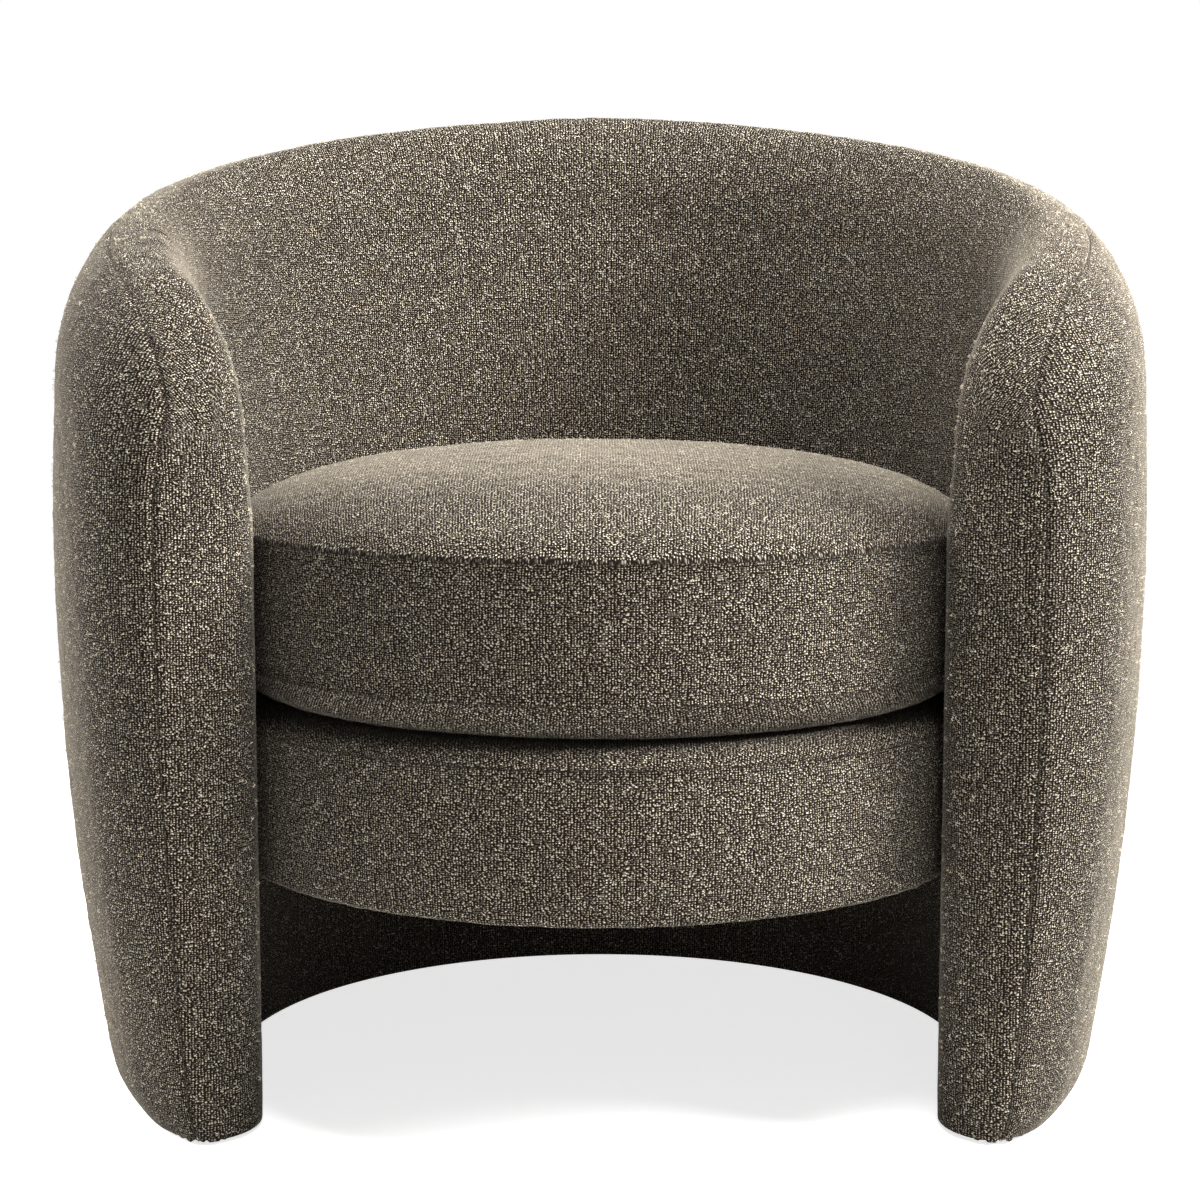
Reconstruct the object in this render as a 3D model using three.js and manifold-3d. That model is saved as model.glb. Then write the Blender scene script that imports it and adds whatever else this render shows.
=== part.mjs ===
// A boucle tub chair: an upholstered C-shaped wall that runs down to the floor as its own legs, a round
// upholstered seat drum bolted inside it, and a loose round box cushion with a zip at the back.
// Millimetres, +Z up, the sitter faces -Y.
import * as THREE from "three";
import { mergeVertices } from "three/addons/utils/BufferGeometryUtils.js";
import Module from "manifold-3d";

const wasm = await Module();
wasm.setup();

// Driving dimensions of the tub wall
const tubRadius = 290; // inner face of the wall at the seat
const wallThickness = 124; // padded wall at the belly
const bellyHeight = 415; // height at which the wall is widest
const barrelRadius = 2250; // bow of the outer face from floor to rim
const backHeight = 751; // crest of the rim at the back
const armDrop = 155; // fall of the crest from the back to the arm fronts
const dropExponent = 1.7;
const wrapAngle = 128; // degrees from the back to each arm front
const reclineStart = 440; // height from which the inner face leans out
const reclineReach = 32.7; // how far out it has leaned at the crest of the back
const crestOffset = 50; // crest of the rim outside the inner face
const innerRoll = 85; // depth of the rim's rounding inside
const outerRoll = 110; // and outside
const noseLength = 60; // rounding of the arm fronts, seen from above
const noseExponent = 2.1;
const noseFlatShare = 0.2; // share of the wall left flat at the arm front
const cornerRadius = 85; // top corner of the arm fronts, seen from the side
const footRound = 16; // rounding of the outer face at the floor
const seamInset = 10; // seam behind the arm fronts and under the crest

// Layers of the upholstery, and the clearance between pieces that touch
const fit = 0.3;
const coverThickness = 2;
const waddingThickness = 8;
const lowPad = 12; // foam inside the wall, below the seat
const backPad = 28; // foam inside the wall, behind the sitter
const rimPad = 33; // foam over the top rail
const endPad = 42; // foam over the arm posts
const boardThickness = 3;
const lowPadTop = 300; // where the low pad gives way to the back pad
const padBlend = 80; // height over which it does
const foamSplitAngle = 58.5; // degrees from the back to the joints between the foam pieces

// The timber frame in the wall
const plinthThickness = 18;
const ribThickness = 18;
const ribSpacing = 26; // degrees
const ribsPerSide = 4;
const postThickness = 24;
const tenonWidth = 26; // of the tenons of ribs and posts, across the wall
const tenonShare = 2 / 3; // of a rib's or post's own thickness
const railWidth = 24;
const railThickness = 18;
const seatRailThickness = 22;
const seatRailHeight = 80;
const seatRailDrop = 106; // top of the seat drum to the foot of the seat rail

// Glides under the wall
const glideHeight = 3;
const glideRadius = 11;
const glideFlatShare = 0.8; // of the radius
const nailRadius = 1.5;
const nailLength = 14;
const liningThickness = 1;
const liningInset = 5;
const glideSteps = [1 / 2, 5 / 2]; // rib spacings from the back, so that these glides lie between ribs
const glideFromPost = 20; // along the crest, from the middle of an arm post to the last glide

// The seat drum
const drumFloor = 177; // underside of the drum's cover
const drumHeight = 125; // from there to the deck
const drumSeamDrop = 15; // deck to the seam round the band
const drumRound = 22; // rounding of the deck's rim
const drumBulge = 3; // of the band between its edges
const hemWidth = 22;
const bandFoam = 10;
const hoopThickness = 14;
const deckFoam = 32;
const dustInset = 12; // dust cover inside the drum's edge
const dustThickness = 1;
const stretcherOffset = 95;
const stretcherThickness = 20;
const stretcherHeight = 55;
const stretcherDrop = 10; // top of the hoop to the top of a stretcher
const housingDepth = 5; // by which the stretchers are let into the hoop

// Webbing, four straps each way, interlaced
const strapWidth = 50;
const strapThickness = 1.6;
const strapPitchShare = 0.365; // of the hoop's outer radius, from strap to strap
const strapsEachWay = 4;
const strapInset = 5; // strap ends inside the hoop's outer edge

// Bolts that hold the drum to the seat rail, with tee nuts behind it
const boltRadius = 3.9;
const boltHeadRadius = 7.5;
const boltHeadHeight = 5.5;
const boltFlange = 10.5;
const boltFlangeThickness = 1.5;
const teeBarrelWall = 1.2;
const teeBarrelLength = 14;
const teeFlange = 10;
const teeFlangeThickness = 1.8;
const boltAngles = [-95, -35, 35, 95]; // degrees from the back
const boltRise = 26; // bolt above the foot of the seat rail

// The loose cushion
const cushionGap = 3; // between the cushion and the inner face of the wall
const cushionSide = 97; // height of the boxing between its seams
const cushionBottomRise = 28; // lower seam above the deck
const cushionCrown = 58; // crown above the upper seam
const boxingBulge = 2; // how far the boxing swells past its seams
const seamLip = 1; // ridge of a sewn seam
const bottomFlatShare = 0.87; // of the radius that lies flat on the deck
const zipHalfAngle = 40; // degrees
const zipSlot = 8;
const zipTapeWidth = 22;
const zipTape = 1.4;
const zipCoil = 1.2;
const sliderLength = 12;
const sliderThickness = 3;
const pullLength = 20;
const pullWidth = 6;
const pullThickness = 1;
const zipRestInset = 3; // degrees from the end of the zip to the slider at rest

// Facets
const facets = 36; // of a full circle
const facetAngle = 360 / facets;
const smallFacets = 8;
const overrun = 40; // by which a cutter passes what it cuts

const rad = THREE.MathUtils.degToRad;
const lerp = THREE.MathUtils.lerp;

// Materials
const boucle = new THREE.MeshStandardMaterial({ color: 0x6f6654, roughness: 0.95, metalness: 0 });
const foam = new THREE.MeshStandardMaterial({ color: 0xd9cfae, roughness: 1, metalness: 0 });
const plywood = new THREE.MeshStandardMaterial({ color: 0xc69c6d, roughness: 0.7, metalness: 0 });
const hardboard = new THREE.MeshStandardMaterial({ color: 0x8a6340, roughness: 0.8, metalness: 0 });
const webbing = new THREE.MeshStandardMaterial({ color: 0x5b4a36, roughness: 0.9, metalness: 0 });
const cambric = new THREE.MeshStandardMaterial({ color: 0x1a1a1a, roughness: 1, metalness: 0 });
const nylon = new THREE.MeshStandardMaterial({ color: 0x2a2724, roughness: 0.5, metalness: 0 });
const steel = new THREE.MeshStandardMaterial({ color: 0xb9bcc0, roughness: 0.35, metalness: 1 });

// A closed geometry as a solid for cutting and joining.
function solidOf(geometry) {
  const bare = geometry.clone();
  bare.deleteAttribute("normal");
  bare.deleteAttribute("uv");
  const merged = mergeVertices(bare, 1e-3);
  const corners = Array.from(merged.index.array);
  const faces = [];
  for (let i = 0; i < corners.length; i += 3) {
    const [a, b, c] = corners.slice(i, i + 3);
    if (a !== b && b !== c && c !== a) faces.push(a, b, c);
  }
  return new wasm.Manifold(
    new wasm.Mesh({
      numProp: 3,
      vertProperties: merged.attributes.position.array,
      triVerts: new Uint32Array(faces),
    }),
  );
}

// A solid as a geometry.
function geometryOf(solid) {
  const mesh = solid.getMesh();
  const places = new Float32Array(mesh.numVert * 3);
  for (let i = 0; i < mesh.numVert; i++) {
    const start = i * mesh.numProp;
    places.set(mesh.vertProperties.subarray(start, start + 3), i * 3);
  }
  const geometry = new THREE.BufferGeometry();
  geometry.setAttribute("position", new THREE.BufferAttribute(places, 3));
  geometry.setIndex(new THREE.BufferAttribute(mesh.triVerts, 1));
  geometry.computeVertexNormals();
  return geometry;
}

function cut(geometry, ...cutters) {
  return geometryOf(cutters.reduce((left, cutter) => left.subtract(solidOf(cutter)), solidOf(geometry)));
}

function join(geometry, ...others) {
  return geometryOf(others.reduce((left, other) => left.add(solidOf(other)), solidOf(geometry)));
}

function common(geometry, other) {
  return geometryOf(solidOf(geometry).intersect(solidOf(other)));
}

// Joins stations of one closed outline, each [radius, height] at its own angle from the back, into a
// curved bar with flat ends.
function loft(stations) {
  const places = [];
  const faces = [];
  const count = stations[0].outline.length;
  for (const { angle, outline } of stations) {
    for (const [r, z] of outline) places.push(r * Math.sin(rad(angle)), r * Math.cos(rad(angle)), z);
  }
  for (let i = 0; i + 1 < stations.length; i++) {
    const outward = Math.abs(stations[i + 1].angle) > Math.abs(stations[i].angle);
    for (let j = 0; j < count; j++) {
      const k = (j + 1) % count;
      const [a, b, c, d] = [i * count + j, i * count + k, (i + 1) * count + k, (i + 1) * count + j];
      const [one, two] = [stations[i].outline[j], stations[i].outline[k]];
      const rising = two[1] - one[1] || two[0] - one[0];
      // Every layer splits a face along the same diagonal, so that layers keep their distance
      if (rising > 0 === outward) faces.push(a, d, b, b, d, c);
      else faces.push(a, c, b, a, d, c);
    }
  }
  for (const [station, turned] of [[0, false], [stations.length - 1, true]]) {
    const contour = stations[station].outline.map(([r, z]) => new THREE.Vector2(r, z));
    const clockwise = THREE.ShapeUtils.isClockWise(contour);
    if (clockwise) contour.reverse();
    for (const face of THREE.ShapeUtils.triangulateShape(contour, [])) {
      const [a, b, c] = face.map((v) => station * count + (clockwise ? count - 1 - v : v));
      if (clockwise === turned) faces.push(a, b, c);
      else faces.push(a, c, b);
    }
  }
  const geometry = new THREE.BufferGeometry();
  geometry.setAttribute("position", new THREE.Float32BufferAttribute(places, 3));
  geometry.setIndex(faces);
  const volume = signedVolume(geometry);
  if (volume < 0) geometry.setIndex(flipped(faces));
  return geometry;
}

function signedVolume(geometry) {
  const place = geometry.attributes.position;
  const corner = [0, 1, 2].map(() => new THREE.Vector3());
  let sum = 0;
  for (let i = 0; i < geometry.index.count; i += 3) {
    corner.forEach((v, n) => v.fromBufferAttribute(place, geometry.index.getX(i + n)));
    sum += corner[0].dot(corner[1].clone().cross(corner[2]));
  }
  return sum;
}

function flipped(faces) {
  const turned = faces.slice();
  for (let i = 0; i < turned.length; i += 3) {
    [turned[i + 1], turned[i + 2]] = [turned[i + 2], turned[i + 1]];
  }
  return turned;
}

// A solid of revolution about Z, from [radius, height] points that start and end on the axis or close.
function turned(points, count = facets) {
  const geometry = new THREE.LatheGeometry(points.map(([r, z]) => new THREE.Vector2(r, z)), count);
  geometry.rotateX(Math.PI / 2);
  const bare = geometry.toNonIndexed();
  bare.deleteAttribute("normal");
  bare.deleteAttribute("uv");
  const merged = mergeVertices(bare, 1e-3);
  const faces = [];
  const corners = merged.index.array;
  for (let i = 0; i < corners.length; i += 3) {
    const [a, b, c] = [corners[i], corners[i + 1], corners[i + 2]];
    if (a !== b && b !== c && c !== a) faces.push(a, b, c);
  }
  merged.setIndex(faces);
  if (signedVolume(merged) < 0) merged.setIndex(flipped(faces));
  return merged;
}

function ring(innerRadius, outerRadius, low, high, count = facets) {
  return turned(
    [[innerRadius, low], [outerRadius, low], [outerRadius, high], [innerRadius, high], [innerRadius, low]],
    count,
  );
}

// The shape of the tub wall
const crestRadius = tubRadius + crestOffset;
const bellyRadius = tubRadius + wallThickness;
const degreesPerLength = 180 / Math.PI / crestRadius;

// Heights of what lies at the foot of the wall
const wallFoot = glideHeight;
const footTop = wallFoot + footRound;
const liningTop = wallFoot + liningThickness;
const frameFoot = liningTop + fit;
const plinthTop = frameFoot + plinthThickness;

function outerFace(z, inset) {
  const height = Math.max(z, footTop);
  const tuck = (footTop - Math.min(footTop, Math.max(z, wallFoot))) * Math.SQRT1_2;
  return bellyRadius - inset - tuck - (height - bellyHeight) ** 2 / (2 * barrelRadius);
}

// Heights at which an outer face that reaches down to a height has corners near the floor
function footLevels(bottom) {
  return [...[footTop, wallFoot].filter((z) => z > bottom), bottom];
}

function innerFace(z, inset) {
  const lean = Math.max(0, z - reclineStart) / (backHeight - reclineStart);
  return tubRadius + inset + lean * reclineReach;
}

function endAngle(inset) {
  return wrapAngle - inset * degreesPerLength;
}

// Height of the crest at an angle from the back, on a layer that lies inset inside the cover's face.
function crest(angle, inset) {
  const share = Math.min(1, Math.abs(angle) / wrapAngle);
  const radius = Math.max(cornerRadius - inset, endPad);
  const toEnd = Math.max(0, (endAngle(inset) - Math.abs(angle)) / degreesPerLength);
  const past = Math.max(0, radius - toEnd);
  const drop = radius - Math.sqrt(Math.max(0, radius ** 2 - past ** 2));
  return backHeight - armDrop * share ** dropExponent - drop - inset;
}

// How much of the wall's thickness is left at an angle, where the arm front rounds off.
function noseShare(angle, inset) {
  const length = noseLength - inset;
  const toEnd = (endAngle(inset) - Math.abs(angle)) / degreesPerLength;
  if (toEnd >= length) return 1;
  const past = Math.min(1, 1 - Math.max(0, toEnd) / length);
  return Math.max(noseFlatShare, (1 - past ** noseExponent) ** (1 / noseExponent));
}

const noseStationShares = [0.6, 0.3, 0.12, 0.03, 0];
const cornerStationShare = 0.78;

// Angles that every layer has a station at: one to a facet, and closer ones where the arm fronts round
const sharedAngles = [endAngle(cornerStationShare * cornerRadius), endAngle(noseLength)];
for (let n = Math.floor(sharedAngles[0] / facetAngle - 1 / 3); n >= 0; n--) {
  sharedAngles.unshift(n * facetAngle);
}

function bothSides(half) {
  return [...half.slice(1).map((angle) => -angle).reverse(), ...half];
}

// Stations of a layer of the padded wall.
function layerAngles(inset) {
  const nose = noseStationShares.map((share) => endAngle(inset + share * (noseLength - inset)));
  return bothSides([...sharedAngles, ...nose]);
}

const uprightShare = 0.84;
const outerWallShares = [0.74, 0.48, 0.22];
const rollSteps = 4;

// Outline of the padded wall at an angle, inset inside the cover's face, down to a given height.
function wallOutline(angle, inset, bottom) {
  const top = crest(angle, inset);
  const innerStart = top - (innerRoll - inset);
  const outerStart = top - (outerRoll - inset);
  const innerReach = crestRadius - innerFace(innerStart, inset);
  const outerReach = outerFace(outerStart, inset) - crestRadius;
  const points = [[innerFace(bottom, inset), bottom]];
  const leanStart = Math.min(reclineStart, innerStart * uprightShare);
  for (const z of [leanStart, lerp(leanStart, innerStart, 1 / 2)]) points.push([innerFace(z, inset), z]);
  for (let i = 0; i <= rollSteps; i++) {
    const turn = (Math.PI / 2) * (i / rollSteps);
    points.push([crestRadius - innerReach * Math.cos(turn), lerp(innerStart, top, Math.sin(turn))]);
  }
  for (let i = rollSteps - 1; i >= 0; i--) {
    const turn = (Math.PI / 2) * (i / rollSteps);
    points.push([crestRadius + outerReach * Math.cos(turn), lerp(outerStart, top, Math.sin(turn))]);
  }
  for (const share of outerWallShares) {
    const z = lerp(footTop, outerStart, share);
    points.push([outerFace(z, inset), z]);
  }
  for (const z of footLevels(bottom)) points.push([outerFace(z, inset), z]);
  const share = noseShare(angle, inset);
  return points.map(([r, z]) => [lerp(crestRadius, r, share), z]);
}

function wallSolid(inset, bottom) {
  return loft(layerAngles(inset).map((angle) => ({ angle, outline: wallOutline(angle, inset, bottom) })));
}

// The frame's space inside the foam: its inner and outer faces, its top and its ends
const boardInset = boardThickness + 2 * fit;
const lowInset = coverThickness + fit + lowPad;
const outInset = coverThickness + fit + waddingThickness;
const railInner = crestRadius - railWidth / 2;
const railOuter = crestRadius + railWidth / 2;
const padTop = lowPadTop + padBlend;
const postAngle = endAngle(endPad + postThickness / 2);
const lastGlide = postAngle - glideFromPost * degreesPerLength;
const glideSide = [...glideSteps.map((steps) => steps * ribSpacing), lastGlide];
const glideAngles = glideSide.flatMap((angle) => [-angle, angle]);
const frameAngles = bothSides([...sharedAngles, endAngle(endPad / 2)]);
const frameShares = [0.74, 0.48, 0.22];

function frameTop(angle) {
  return crest(angle, rimPad);
}

function frameShoulder(angle) {
  return frameTop(angle) + rimPad - outerRoll;
}

function frameInner(z, angle) {
  const low = tubRadius + lowInset;
  const high = low + backPad - lowPad;
  const blend = Math.min(1, Math.max(0, z - lowPadTop) / padBlend);
  const rise = Math.max(0, z - padTop) / (frameTop(angle) - padTop);
  return lerp(lerp(low, high, blend), railInner - boardInset, rise);
}

function frameOuter(z, angle) {
  const shoulder = frameShoulder(angle);
  if (z <= shoulder) return outerFace(z, outInset);
  const share = (z - shoulder) / (frameTop(angle) - shoulder);
  return lerp(outerFace(shoulder, outInset), railOuter + boardInset, share);
}

// Corners of a layer's inner face, upwards, and of its outer face, downwards.
function innerCorners(angle, inset, low, high) {
  const levels = [low, lowPadTop, padTop, high].map((z) => Math.min(z, high));
  return levels.map((z) => [frameInner(z, angle) + inset, z]);
}

function outerCorners(angle, inset, low, high) {
  const shoulder = frameShoulder(angle);
  const shares = frameShares.map((share) => lerp(footTop, shoulder, share));
  return [high, shoulder, ...shares, ...footLevels(low)].map((z) => [frameOuter(z, angle) - inset, z]);
}

function frameLoft(outlineOf) {
  return loft(frameAngles.map((angle) => ({ angle, outline: outlineOf(angle) })));
}

// The frame's space from a low height to a clearance under its top, inset on both faces.
function frameSolid(inset, low, drop) {
  return frameLoft((angle) => {
    const high = frameTop(angle) - drop;
    const seat = [[railInner, high], [railOuter, high]];
    return [...innerCorners(angle, inset, low, high), ...seat, ...outerCorners(angle, inset, low, high)];
  });
}

// A square bar that runs round the frame.
function frameBar(inner, outer, lowOf, highOf) {
  return frameLoft((angle) => [
    [inner, lowOf(angle)],
    [outer, lowOf(angle)],
    [outer, highOf(angle)],
    [inner, highOf(angle)],
  ]);
}

// What lies in front of the two arm posts, from a distance past their front faces.
function beyondPosts(past) {
  return [-1, 1].map((side) => {
    const block = new THREE.BoxGeometry(wallThickness, bellyRadius, backHeight * 2);
    block.translate(side * (wallThickness / 2 + postThickness / 2 + past), bellyRadius / 2 + overrun, 0);
    return block.rotateZ(-rad(side * postAngle));
  });
}

const chair = new THREE.Group();
chair.name = "tub_chair";

function place(name, geometry, material, parent = chair) {
  const mesh = new THREE.Mesh(geometry, material);
  mesh.name = name;
  parent.add(mesh);
  return mesh;
}

// The seat drum's radii and heights
const drumRadius = tubRadius - fit - drumBulge;
const deckHeight = drumFloor + drumHeight;
const drumSeam = deckHeight - drumSeamDrop;
const bandOuter = drumRadius - coverThickness - fit;
const hoopOuter = bandOuter - bandFoam - fit;
const hoopInner = hoopOuter - hoopThickness;
const hoopFoot = drumFloor + coverThickness + fit;
const deckUnderside = deckHeight - coverThickness - fit - deckFoam;
const weaveLift = (strapThickness + fit) / 2;
const strapCentre = deckUnderside - fit - strapThickness / 2 - weaveLift;
const hoopTop = strapCentre - weaveLift - strapThickness / 2 - fit;
const seatRailFoot = deckHeight - seatRailDrop;
const seatRailTop = seatRailFoot + seatRailHeight;
const boltHeight = seatRailFoot + boltRise;
const seatRailInner = tubRadius + lowInset + boardThickness + 2 * fit;
const seatRailOuter = seatRailInner + seatRailThickness;

// Bolt holes: one cutter to a bolt, wide enough for the tee nut's barrel
const teeOuter = boltRadius + fit + teeBarrelWall;
const boltSpan = seatRailOuter + overrun - (hoopInner - overrun);

function radialCylinder(radius, from, length, angle, height, count = smallFacets) {
  const geometry = new THREE.CylinderGeometry(radius, radius, length, count);
  geometry.translate(0, from + length / 2, height);
  geometry.rotateZ(-rad(angle));
  return geometry;
}

const boltCutters = boltAngles.map((angle) =>
  radialCylinder(teeOuter + fit, hoopInner - overrun, boltSpan, angle, boltHeight),
);

// The part of the wall outside the seam on the outer side of the rim; grow moves the seam line outwards.
function outsideOfSeam(grow) {
  const inset = seamInset - grow;
  const reach = bellyRadius + overrun;
  return loft(
    layerAngles(inset).map((angle) => {
      const top = crest(angle, inset);
      const outline = [[crestRadius, -overrun], [crestRadius, top], [reach, top], [reach, -overrun]];
      return { angle, outline };
    }),
  );
}

// The covers: an inside piece that rolls over the rim and round the arm fronts, and an outside piece
function addCovers() {
  const skin = cut(wallSolid(0, wallFoot), wallSolid(coverThickness, wallFoot - overrun));
  place("inside_cover", cut(skin, outsideOfSeam(fit), ...boltCutters), boucle);
  place("outside_cover", common(skin, outsideOfSeam(0)), boucle);
}

// Foam: one jacket over the frame, in three pieces that meet at joints behind the sitter's shoulders
function wedge(from, to) {
  const reach = bellyRadius + overrun;
  const top = backHeight + overrun;
  const angles = [from, lerp(from, to, 1 / 3), lerp(from, to, 2 / 3), to];
  const outline = [[overrun, -overrun], [reach, -overrun], [reach, top], [overrun, top]];
  return loft(angles.map((angle) => ({ angle, outline })));
}

function addFoam() {
  const outside = wallSolid(coverThickness + fit, frameFoot);
  const inside = cut(frameSolid(0, wallFoot - overrun, 0), ...beyondPosts(fit));
  const jacket = cut(outside, inside, ...boltCutters);
  const half = (fit / 2) * degreesPerLength;
  const far = wrapAngle + facetAngle;
  place("foam_back", common(jacket, wedge(half - foamSplitAngle, foamSplitAngle - half)), foam);
  place("foam_arm_left", common(jacket, wedge(-far, -foamSplitAngle - half)), foam);
  place("foam_arm_right", common(jacket, wedge(foamSplitAngle + half, far)), foam);
}

// A board that lies against the foam, on the inner or on the outer side of the frame.
function boardOf(cornersOf, low) {
  const board = frameLoft((angle) => {
    const high = frameTop(angle) - fit;
    const face = cornersOf(angle, fit, low, high);
    return [...face, ...cornersOf(angle, fit + boardThickness, low, high).reverse()];
  });
  return cut(board, ...beyondPosts(0));
}

function addBoards() {
  place("inner_board", cut(boardOf(innerCorners, frameFoot), ...boltCutters), hardboard);
  place("outer_board", boardOf(outerCorners, footTop), hardboard);
}

// A plank that stands on edge in the wall at an angle from the back, and room for one.
function plank(thickness, angle) {
  const box = new THREE.BoxGeometry(thickness, wallThickness + overrun, backHeight + overrun);
  box.translate(0, tubRadius + wallThickness / 2, backHeight / 2);
  return box.rotateZ(-rad(angle));
}

// Places a piece that was cut where it stands so that its own frame is square to the wall.
function placeAt(name, geometry, material, angle, parent = chair) {
  const piece = place(name, geometry.rotateZ(rad(angle)), material, parent);
  piece.rotation.z = -rad(angle);
  return piece;
}

function addFrame() {
  const level = (height) => () => height;
  const railFoot = (angle) => frameTop(angle) - fit - railThickness;
  const clearOfPosts = beyondPosts(-postThickness - fit);

  const plinthOuter = frameOuter(frameFoot, 0) - fit;
  const plinthInner = tubRadius + lowInset + boardInset;
  const plinthMiddle = (plinthInner + plinthOuter) / 2;
  const nailHoles = glideAngles.map((angle) => {
    const depth = nailLength + overrun;
    const hole = new THREE.CylinderGeometry(nailRadius + fit, nailRadius + fit, depth, smallFacets);
    hole.rotateX(Math.PI / 2);
    hole.translate(0, plinthMiddle, wallFoot + nailLength + fit - depth / 2);
    return hole.rotateZ(-rad(angle));
  });
  // A tenon on the foot of a rib or post, or with a clearance all round the mortise for it
  const tenon = (thickness, angle, clearance, low, high) => {
    const width = thickness * tenonShare + 2 * clearance;
    const box = new THREE.BoxGeometry(width, tenonWidth + 2 * clearance, high - low);
    box.translate(0, plinthMiddle, (low + high) / 2);
    return box.rotateZ(-rad(angle));
  };
  const ribAngles = [];
  for (let n = -ribsPerSide; n <= ribsPerSide; n++) ribAngles.push(n * ribSpacing);
  const posts = [["arm_post_left", -postAngle], ["arm_post_right", postAngle]];
  const mortise = (thickness, angle) => tenon(thickness, angle, fit, -overrun, plinthTop + overrun);
  const mortises = [
    ...ribAngles.map((angle) => mortise(ribThickness, angle)),
    ...posts.map(([, angle]) => mortise(postThickness, angle)),
  ];
  const plinth = frameBar(plinthInner, plinthOuter, level(frameFoot), level(plinthTop));
  place("plinth_ring", cut(plinth, ...beyondPosts(0), ...nailHoles, ...mortises), plywood);

  const liningInner = tubRadius + coverThickness + liningInset;
  const liningOuter = outerFace(wallFoot, coverThickness) - liningInset;
  const lining = frameBar(liningInner, liningOuter, level(wallFoot), level(liningTop));
  place("plinth_lining", cut(lining, ...beyondPosts(0), ...nailHoles), cambric);

  const topRail = frameBar(railInner, railOuter, railFoot, (angle) => frameTop(angle) - fit);
  place("top_rail", cut(topRail, ...clearOfPosts), plywood);
  const seatRail = frameBar(seatRailInner, seatRailOuter, level(seatRailFoot), level(seatRailTop));
  place("seat_rail", cut(seatRail, ...clearOfPosts, ...boltCutters), plywood);

  // Ribs and posts reach from board to board, stand in the plinth and carry the rails. The ribs are notched
  // for the seat rail.
  const ribRoom = frameSolid(boardInset, plinthTop + fit, fit + railThickness + fit);
  const postRoom = frameSolid(boardInset, plinthTop + fit, fit);
  const notch = frameBar(
    seatRailInner - overrun,
    seatRailOuter + fit,
    level(seatRailFoot - fit),
    level(seatRailTop + fit),
  );
  const upright = (thickness, angle, room) => {
    const foot = tenon(thickness, angle, 0, frameFoot + fit, plinthTop + tenonWidth);
    return join(common(plank(thickness, angle), room), foot);
  };
  ribAngles.forEach((angle, n) => {
    placeAt(`rib_${n + 1}`, cut(upright(ribThickness, angle, ribRoom), notch), plywood, angle);
  });
  for (const [name, angle] of posts) placeAt(name, upright(postThickness, angle, postRoom), plywood, angle);

  // Nail-on glides under the plinth
  const flat = glideRadius * glideFlatShare;
  const discTop = glideHeight - fit;
  const profile = [
    [0, 0],
    [flat, 0],
    [glideRadius, discTop / 2],
    [glideRadius, discTop],
    [nailRadius, discTop],
    [nailRadius, glideHeight + nailLength],
    [0, glideHeight + nailLength],
  ];
  glideAngles.forEach((angle, n) => {
    const glide = place(`glide_${n + 1}`, turned(profile, smallFacets), nylon);
    glide.position.set(plinthMiddle * Math.sin(rad(angle)), plinthMiddle * Math.cos(rad(angle)), 0);
    glide.rotation.z = -rad(angle);
  });
}

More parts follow.
